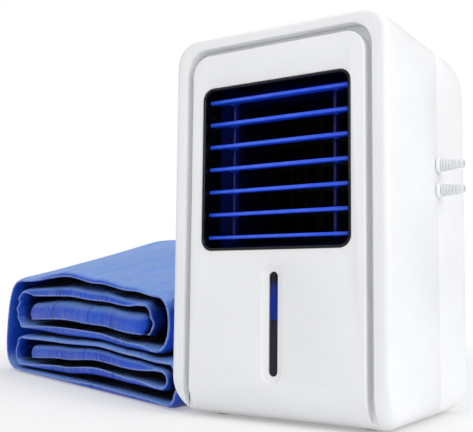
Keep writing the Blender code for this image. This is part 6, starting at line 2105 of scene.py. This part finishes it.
    def closed_end(self, strand: Strand) -> Pair:
        """Closes a fold's front where a flap covers the layers inside it; other folds stay open.

        Args:
            strand: the place along the strip.

        Returns:
            How far it is drawn in along the pad and upwards.
        """
        for cover, low in self.flaps:
            if cover in (strand.layer, strand.after) and (cover, strand.along) in self.closed:
                high = self.middle_line(strand, 0.0)[1]
                share = (1 + math.cos(strand.angle)) / 2
                share = share if strand.layer == cover else 1 - share
                across = -strand.side * strand.reach * self.length * math.sin(strand.angle)
                rise = self.height(low, strand.along, 0.0) - high
                return across * self.closed_reach, rise * min(share * self.closed_pace, 1.0)
        return 0.0, 0.0

    def drawn_in(self, strand: Strand) -> float:
        """Draws the covered layers' front edges in.

        Args:
            strand: the place along the strip.

        Returns:
            How far the strand's front edge lies behind the pad's front.
        """
        if strand.angle >= 0:
            hides = [layer in self.hidden for layer in (strand.layer, strand.after)]
            share = strand.angle / math.pi
            return self.recess * ((1 - share) * hides[0] + share * hides[1])
        return self.recess if strand.layer in self.hidden else 0.0

    def place(self, along: float, deep: float, high: float) -> Vector:
        """Turns a place on the pad into one in the scene's frame.

        Args:
            along, deep, high: the place, in metres, from the pad's left front corner.

        Returns:
            The place in the scene.
        """
        front = Vector((math.cos(self.turn), math.sin(self.turn)))
        inward = Vector((-front.y, front.x))
        limit = -HALF_WIDTH - self.side_gap
        base = Vector((limit, self.tip_y)) - front * self.length + inward * deep
        squeeze = (limit - base.x) / front.x / self.length
        reach = along * squeeze if along > 0 else along
        spot = base + front * (reach - self.thickness / 2)
        return Vector((spot.x, spot.y, high)) + ORIGIN

    def edge_path(self, strand: Strand, curl: float, row: int) -> Triple:
        """Follows the cloth from its front edge back.

        Args:
            strand: the place along the strip.
            curl: how far its front edge curls.
            row: the row, from the front edge.

        Returns:
            The depth, the curl's share that is left, and the way along the cloth.
        """
        full = min(abs(curl) / self.curl_full, 1.0)
        start = self.drawn_in(strand) + self.thickness / 2 * full
        reach = self.curl_full + self.curl_depth * abs(curl)
        if row <= self.curl_rows:
            turn = math.pi / 2 * row / self.curl_rows
            power = 2 / self.curl_power
            back = 1 - abs(math.cos(turn)) ** power
            rise = 1 - math.sin(turn) ** power if row else 1.0
            deep = start + reach * (back * full + (row / self.curl_rows) * (1 - full))
            way = row / self.curl_rows * (abs(curl) * self.curl_way + reach)
            return deep, rise, way
        share = (row - self.curl_rows) / (self.rows - 1 - self.curl_rows)
        deep = start + reach + (self.depth - start - reach) * share
        return deep, 0.0, abs(curl) * self.curl_way + deep - start

    def ways(self, strands: list[Strand]) -> list[float]:
        """Measures the cloth's length as it runs through the layers and folds.

        Args:
            strands: the places along the strip.

        Returns:
            The length along the cloth at each place.
        """
        ways = [0.0]
        for near, far in zip(strands, strands[1:]):
            ends = (self.middle_line(strand, self.way_back) for strand in (near, far))
            ways.append(ways[-1] + math.dist(*ends))
        return ways

    def press_ways(self) -> tuple[float, ...]:
        """Finds the pressed creases of earlier folds.

        Returns:
            Where along the cloth they lie.
        """
        strands = self.strands()
        ways = self.ways(strands)
        places = []
        for layer, along in self.pressed:
            flat = [
                index for index, strand in enumerate(strands) if strand.layer == layer and strand.angle < 0]
            places.append(ways[min(flat, key=lambda index: abs(strands[index].along - along))])
        return tuple(places)

    def ruffle(self, spot: Vector, strand: Strand, length: float, way: float) -> None:
        """Ripples the cloth and pleats its tight folds near the front.

        Args:
            spot: the point that moves.
            strand: its place along the strip.
            length, way: its place on the cloth, along it and in from its edge.
        """
        if strand.layer != 0:
            along, inward, level = self.ripple_scale
            soft = Vector((length * along, way * inward, level))
            ripple = sum(noise.noise(soft * scale) * height for scale, height in self.ripples)
            least, full = self.ripple_edge
            spot.z += ripple * min(1.0, least + way / full)
        if strand.angle >= 0 and {strand.layer, strand.after} in self.crumpled:
            close = math.sin(strand.angle) * max(0.0, 1 - way / self.pleat_way)
            along, inward, level = self.pleat_scale
            spot += noise.noise_vector(Vector((length * along, way * inward, level))) * self.pleat * close

    def fullness(self, back: float, way: float, edge: int) -> float:
        """Says how thick the cloth is: thin at its rim and its ends, fuller towards the back.

        Args:
            back: the share of the depth, from the front.
            way: how far in from the cloth's edge.
            edge: how many rows or columns it is from the nearest end.

        Returns:
            The share of the full thickness.
        """
        part = min(way / self.rim_length, 1.0)
        rim = self.rim_share + (1 - self.rim_share) * math.sin(part * math.pi / 2)
        taper = min(self.end_taper[min(edge, len(self.end_taper) - 1)], rim)
        return self.wall(back) / self.full_thickness * taper

    def surface(self) -> Object:
        """Builds the strip's middle surface with its map and its fullness.

        Returns:
            The open surface, wrinkled a little.
        """
        strands = self.strands()
        columns, rows = len(strands) - 1, self.rows - 1
        deselect()
        bpy.ops.mesh.primitive_grid_add(x_subdivisions=columns, y_subdivisions=rows, size=2.0)
        pad = bpy.context.object
        pad.name = "folded_pad_cloth"
        ways = self.ways(strands)
        curled = [self.curl(strand) for strand in strands]
        group = pad.vertex_groups.new(name="fullness")
        marks = []
        noise.seed_set(self.seed)
        for vertex in pad.data.vertices:
            column = round((vertex.co.x + 1) / 2 * columns)
            row = round((vertex.co.y + 1) / 2 * rows)
            strand, (across, upward) = strands[column], curled[column]
            deep, left, way = self.edge_path(strand, math.hypot(across, upward), row)
            back = deep / self.depth
            along, high = self.middle_line(strand, back)
            spot = self.place(along + across * left, deep, high + upward * left)
            self.ruffle(spot, strand, ways[column], way)
            full = self.fullness(back, way, min(rows - row, column, columns - column))
            group.add([vertex.index], full, "REPLACE")
            marks.append((ways[column], way))
            vertex.co = spot
        while pad.data.uv_layers:
            pad.data.uv_layers.remove(pad.data.uv_layers[0])
        cloth = pad.data.uv_layers.new(name="cloth")
        for loop in pad.data.loops:
            cloth.data[loop.index].uv = marks[loop.vertex_index]
        return pad

    def bake_fold_shade(self, pad: Object) -> None:
        """Stores how deep each point lies in the folds, by looking out from it in fixed directions, for the
        painted shade in the cloth's material.

        Args:
            pad: the finished cloth.
        """
        tree = BVHTree.FromObject(pad, bpy.context.evaluated_depsgraph_get())
        looks = []
        for step in range(self.looks):
            up = (step + 0.5) / self.looks
            turn = step * GOLDEN_ANGLE
            flat = math.sqrt(1 - up * up)
            looks.append(Vector((flat * math.cos(turn), flat * math.sin(turn), up)))
        depths = []
        for vertex in pad.data.vertices:
            start = vertex.co + vertex.normal * self.look_start
            turn = vertex.normal.to_track_quat("Z", "Y")
            hits = sum(tree.ray_cast(start, turn @ look, self.look_reach)[0] is not None for look in looks)
            depths.append(hits / self.looks)
        # the share of looks that hit the cloth, which the material turns into painted shade
        attribute = pad.data.attributes.new("painted_fold_shade", "FLOAT", "POINT")
        attribute.data.foreach_set("value", depths)

    def build(self) -> None:
        """Gives the surface its wall and finishes it."""
        pad = self.surface()
        wall = pad.modifiers.new("wall", "SOLIDIFY")
        wall.thickness = self.full_thickness
        wall.offset = 0.0
        wall.vertex_group = "fullness"
        wall.use_even_offset = False
        select_only(pad)
        bpy.ops.object.modifier_apply(modifier=wall.name)
        bpy.ops.object.mode_set(mode="EDIT")
        bpy.ops.mesh.select_all(action="SELECT")
        bpy.ops.mesh.normals_make_consistent(inside=False)
        bpy.ops.object.mode_set(mode="OBJECT")
        bpy.ops.object.shade_smooth_by_angle(angle=math.radians(self.smooth_angle))
        self.bake_fold_shade(pad)
        low = min(vertex.co.z for vertex in pad.data.vertices)
        LOG.info("the pad's lowest point is %.2f mm over the floor", low / MILLIMETRE)
        self.dresser.finish(pad, Slot.NYLON, Body.PAD.value, ["folded_pad"])


@dataclass(frozen=True)
class Lamp:
    """A square soft lamp, placed and aimed in the unit's own frame."""

    name: str
    place: Triple
    aim: Triple
    side: float
    watts: float

    def build(self) -> None:
        """Adds the lamp to the scene."""
        data = bpy.data.lights.new(self.name, "AREA")
        data.shape = "SQUARE"
        data.size = self.side
        data.energy = self.watts
        obj = bpy.data.objects.new(self.name, data)
        bpy.context.collection.objects.link(obj)
        place = Vector(self.place)
        obj.location = place + ORIGIN
        obj.rotation_mode = "QUATERNION"
        obj.rotation_quaternion = (Vector(self.aim) - place).to_track_quat("-Z", "Y")


@dataclass
class Studio:
    """The floor, the soft lamps, the pale surroundings and the camera."""

    camera_place: Triple = (0.2441, -0.4150, 0.0777)
    yaw: float = 33.03
    pitch: float = 5.64
    roll: float = 0.62
    focal_pixels: float = 796.5
    picture_width: float = 473.0
    clip: Pair = (0.01, 50.0)
    sky: float = 0.54
    floor_size: float = 5.0
    floor_level: float = -0.0002
    paper: Pair = (0.955, 0.975)
    paper_scale: float = 60.0
    paper_roughness: float = 0.9
    paper_specular: float = 0.1
    fade: Span = (0.4, 1.0, 0.35, 1.0)
    lamps: tuple[Lamp, ...] = (
        Lamp("key_lamp", (1.3, -0.35, 0.75), (0.0, 0.05, 0.12), 0.9, 9.4),
        Lamp("fill_lamp", (-0.9, -1.2, 0.9), (-0.1, 0.0, 0.1), 1.2, 3.5),
        Lamp("top_lamp", (-0.15, 0.25, 1.5), (-0.1, 0.0, 0.1), 1.3, 6.2),
    )

    def camera(self) -> None:
        """Places the camera where the photograph was taken from."""
        yaw, pitch, roll = (math.radians(a) for a in (self.yaw, self.pitch, self.roll))
        ahead = Vector((-math.sin(yaw) * math.cos(pitch), math.cos(yaw) * math.cos(pitch), math.sin(pitch)))
        right = Vector((math.cos(yaw), math.sin(yaw), 0.0))
        up = right.cross(ahead)
        turned_right = right * math.cos(roll) + up * math.sin(roll)
        turned_up = up * math.cos(roll) - right * math.sin(roll)
        data = bpy.data.cameras.new("camera")
        data.sensor_fit = "HORIZONTAL"
        data.lens = self.focal_pixels / self.picture_width * data.sensor_width
        data.clip_start, data.clip_end = self.clip
        obj = bpy.data.objects.new("camera", data)
        bpy.context.collection.objects.link(obj)
        turn = Matrix((turned_right, turned_up, -ahead)).transposed()
        obj.matrix_world = Matrix.Translation(Vector(self.camera_place) + ORIGIN) @ turn.to_4x4()
        bpy.context.scene.camera = obj

    def paper_look(self) -> bpy.types.Material:
        """Makes the floor's paper, which fades to white far away and keeps the shadow.

        Returns:
            The material.
        """
        material = bpy.data.materials.new("floor_paper")
        material.use_nodes = True
        nodes, links = material.node_tree.nodes, material.node_tree.links
        graph = Graph(material.node_tree)
        shader = nodes["Principled BSDF"]
        shader.inputs["Roughness"].default_value = self.paper_roughness
        shader.inputs["Specular IOR Level"].default_value = self.paper_specular
        place = object_place(graph)
        darker, paler = ((grey,) * 3 for grey in self.paper)
        colour = graph.mix(graph.noise(place, self.paper_scale, 4.0), darker, paler)
        links.new(colour, shader.inputs["Base Color"])
        away = graph.add("ShaderNodeVectorMath", {0: place}, operation="LENGTH").outputs["Value"]
        rays = graph.add("ShaderNodeLightPath").outputs
        seen = graph.math("MAXIMUM", rays["Is Camera Ray"], rays["Is Glossy Ray"])
        seen = graph.math("MAXIMUM", seen, rays["Is Transmission Ray"])
        far = graph.math("MULTIPLY", graph.remap(away, *self.fade), seen)
        glow = graph.add("ShaderNodeEmission", {"Color": (1.0, 1.0, 1.0), "Strength": 1.0})
        both = graph.add("ShaderNodeMixShader", {0: far, 1: shader.outputs[0], 2: glow.outputs[0]})
        links.new(both.outputs[0], nodes["Material Output"].inputs["Surface"])
        return material

    def floor(self) -> None:
        """Adds the pale floor."""
        deselect()
        place = (ORIGIN.x, ORIGIN.y, self.floor_level)
        bpy.ops.mesh.primitive_plane_add(size=self.floor_size, location=place)
        obj = bpy.context.object
        obj.name = "floor"
        bpy.ops.object.mode_set(mode="EDIT")
        bpy.ops.mesh.subdivide(number_cuts=2)
        bpy.ops.object.mode_set(mode="OBJECT")
        obj.data.materials.append(self.paper_look())

    def surroundings(self) -> None:
        """Makes the world white to look at and softly lit."""
        world = bpy.data.worlds.new("studio")
        bpy.context.scene.world = world
        world.use_nodes = True
        graph = Graph(world.node_tree)
        rays = graph.add("ShaderNodeLightPath").outputs
        seen = graph.math("MAXIMUM", rays["Is Camera Ray"], rays["Is Transmission Ray"])
        strength = graph.remap(seen, 0.0, 1.0, self.sky, 1.0)
        back = world.node_tree.nodes["Background"]
        back.inputs["Color"].default_value = (1.0, 1.0, 1.0, 1.0)
        world.node_tree.links.new(strength, back.inputs["Strength"])

    def build(self) -> None:
        """Sets the whole studio up, apart from the camera."""
        self.floor()
        self.surroundings()
        for lamp in self.lamps:
            lamp.build()
        bpy.context.scene.view_settings.view_transform = "Standard"


INNER_NODES: dict[Slot, tuple[str, ...]] = {
    Slot.DUCT: ("air_duct",),
    Slot.BLACK: ("fan_frame", "fan_rotor", "pump_housing", "pump_cover"),
    Slot.CORE: ("heat_exchanger",),
    Slot.TANK: ("water_tank", "tank_deck", "pump_impeller"),
    Slot.HOSE: ("supply_hose", "return_hose", "pump_hose", "filler_hose"),
    Slot.STEEL: tuple(f"{kind}_screw_{number}" for kind in ("fan", "casing") for number in range(1, 5))
    + ("lid_pin",),
    Slot.BOARD: ("control_board",),
}


def finishes(dresser: Dresser, presses: tuple[float, ...]) -> None:
    """Builds every material of the object.

    Args:
        dresser: keeps the materials.
        presses: where the pad's cloth has pressed creases.
    """
    dresser.learn(Slot.CASING, Finish(
        "casing_plastic", tone(240, 241, 243), tone(245, 246, 248), roughness=0.36, spread=0.05,
        fineness=2600.0, depth=0.000012, wear=0.12, worn_tint=tone(252, 252, 252), dust=0.05,
        dust_tint=tone(205, 205, 203)))
    dresser.learn(Slot.TRIM, Finish(
        "trim_gloss", tone(4, 5, 8), tone(6, 7, 11), roughness=0.12, spread=0.02, fineness=900.0,
        depth=0.000002, wear=0.1, worn_tint=tone(60, 64, 80), dust=0.0, specular=0.3))
    dresser.learn(Slot.SLAT, Finish(
        "slat_plastic", tone(14, 76, 238), tone(24, 86, 242), roughness=0.24, spread=0.03,
        fineness=1500.0, depth=0.000004, patch=12.0, coat=0.3, wear=0.1, worn_tint=tone(120, 150, 245),
        dust=0.0))
    dresser.learn(Slot.DUCT, DuctFinish(
        "duct_plastic", tone(20, 36, 118), tone(14, 26, 96), roughness=0.4, spread=0.06, fineness=1300.0,
        depth=0.00002, patch=9.0, wear=0.1, worn_tint=tone(40, 52, 130), dust=0.0, specular=0.25))
    dresser.learn(Slot.BLACK, Finish(
        "black_plastic", tone(14, 15, 17), tone(20, 21, 24), roughness=0.48, spread=0.06, fineness=1400.0,
        depth=0.00003, patch=9.0, wear=0.1, worn_tint=tone(60, 61, 64), dust=0.03))
    dresser.learn(Slot.LENS, LensFinish(
        "level_lens", tone(30, 40, 90), tone(24, 34, 80), roughness=0.1, spread=0.02, fineness=700.0,
        depth=0.000002, wear=0.0, dust=0.0, specular=0.2))
    dresser.learn(Slot.TANK, Finish(
        "tank_plastic", tone(205, 214, 222), tone(190, 201, 212), roughness=0.4, spread=0.06,
        fineness=900.0, depth=0.00002, subsurface=0.2, dust=0.05))
    dresser.learn(Slot.HOSE, Finish(
        "hose_rubber", tone(198, 202, 206), tone(184, 189, 195), roughness=0.42, spread=0.06,
        fineness=1100.0, depth=0.00003, subsurface=0.15, dust=0.06))
    dresser.learn(Slot.WHITE_RUBBER, Finish(
        "boot_rubber", tone(236, 237, 240), tone(226, 228, 232), roughness=0.52, spread=0.06,
        fineness=2100.0, depth=0.00003, subsurface=0.1, wear=0.15, dust=0.12,
        dust_tint=tone(190, 190, 188)))
    dresser.learn(Slot.FOOT, Finish(
        "foot_rubber", tone(48, 49, 52), tone(60, 61, 64), roughness=0.75, spread=0.08, fineness=1300.0,
        depth=0.00006, dust=0.25))
    # The fins' near-black tints are painted shade, for the dark inside of the casing.
    dresser.learn(Slot.CORE, FinnedFinish(
        "fin_painted_shade", tone(9, 10, 14), tone(6, 7, 10), roughness=0.55, spread=0.05, fineness=1600.0,
        depth=0.00005, metallic=0.2, wear=0.05, worn_tint=tone(40, 42, 48), dust=0.0, specular=0.15))
    dresser.learn(Slot.STEEL, Finish(
        "screw_steel", tone(178, 180, 184), tone(150, 152, 158), roughness=0.28, spread=0.08,
        fineness=1400.0, depth=0.00002, metallic=1.0, dust=0.08))
    dresser.learn(Slot.BOARD, CircuitFinish(
        "board_lacquer", tone(24, 96, 48), tone(20, 84, 42), roughness=0.3, spread=0.06, fineness=900.0,
        depth=0.00002, coat=0.4))
    # The nylon's third to fifth tints are a painted rim highlight, painted shade and painted top light.
    dresser.learn(Slot.NYLON, NylonFinish(
        "pad_nylon", tone(18, 70, 196), tone(30, 86, 212), tone(165, 195, 246), tone(2, 3, 20),
        tone(134, 178, 246), presses=presses))


def main() -> None:
    """Builds the studio and each sub-assembly in turn."""
    logging.basicConfig(level=logging.INFO, format="%(name)s: %(message)s")
    studio = Studio()
    studio.camera()
    dresser = Dresser()
    pad = FoldedPad(dresser)
    finishes(dresser, pad.press_ways())
    for slot, nodes in INNER_NODES.items():
        for node in nodes:
            dresser.dress(node, slot)
    casing = Casing(dresser)
    casing.build()
    FrontPanel(dresser, casing).build()
    Louver(dresser).build()
    WaterOutlets(dresser).build()
    Filler(dresser).build()
    Controls(dresser).build()
    Back(dresser).build()
    CoreFins(dresser).build()
    pad.build()
    studio.build()
    LOG.info("%d new pieces", dresser.pieces)


if __name__ == "__main__":
    main()
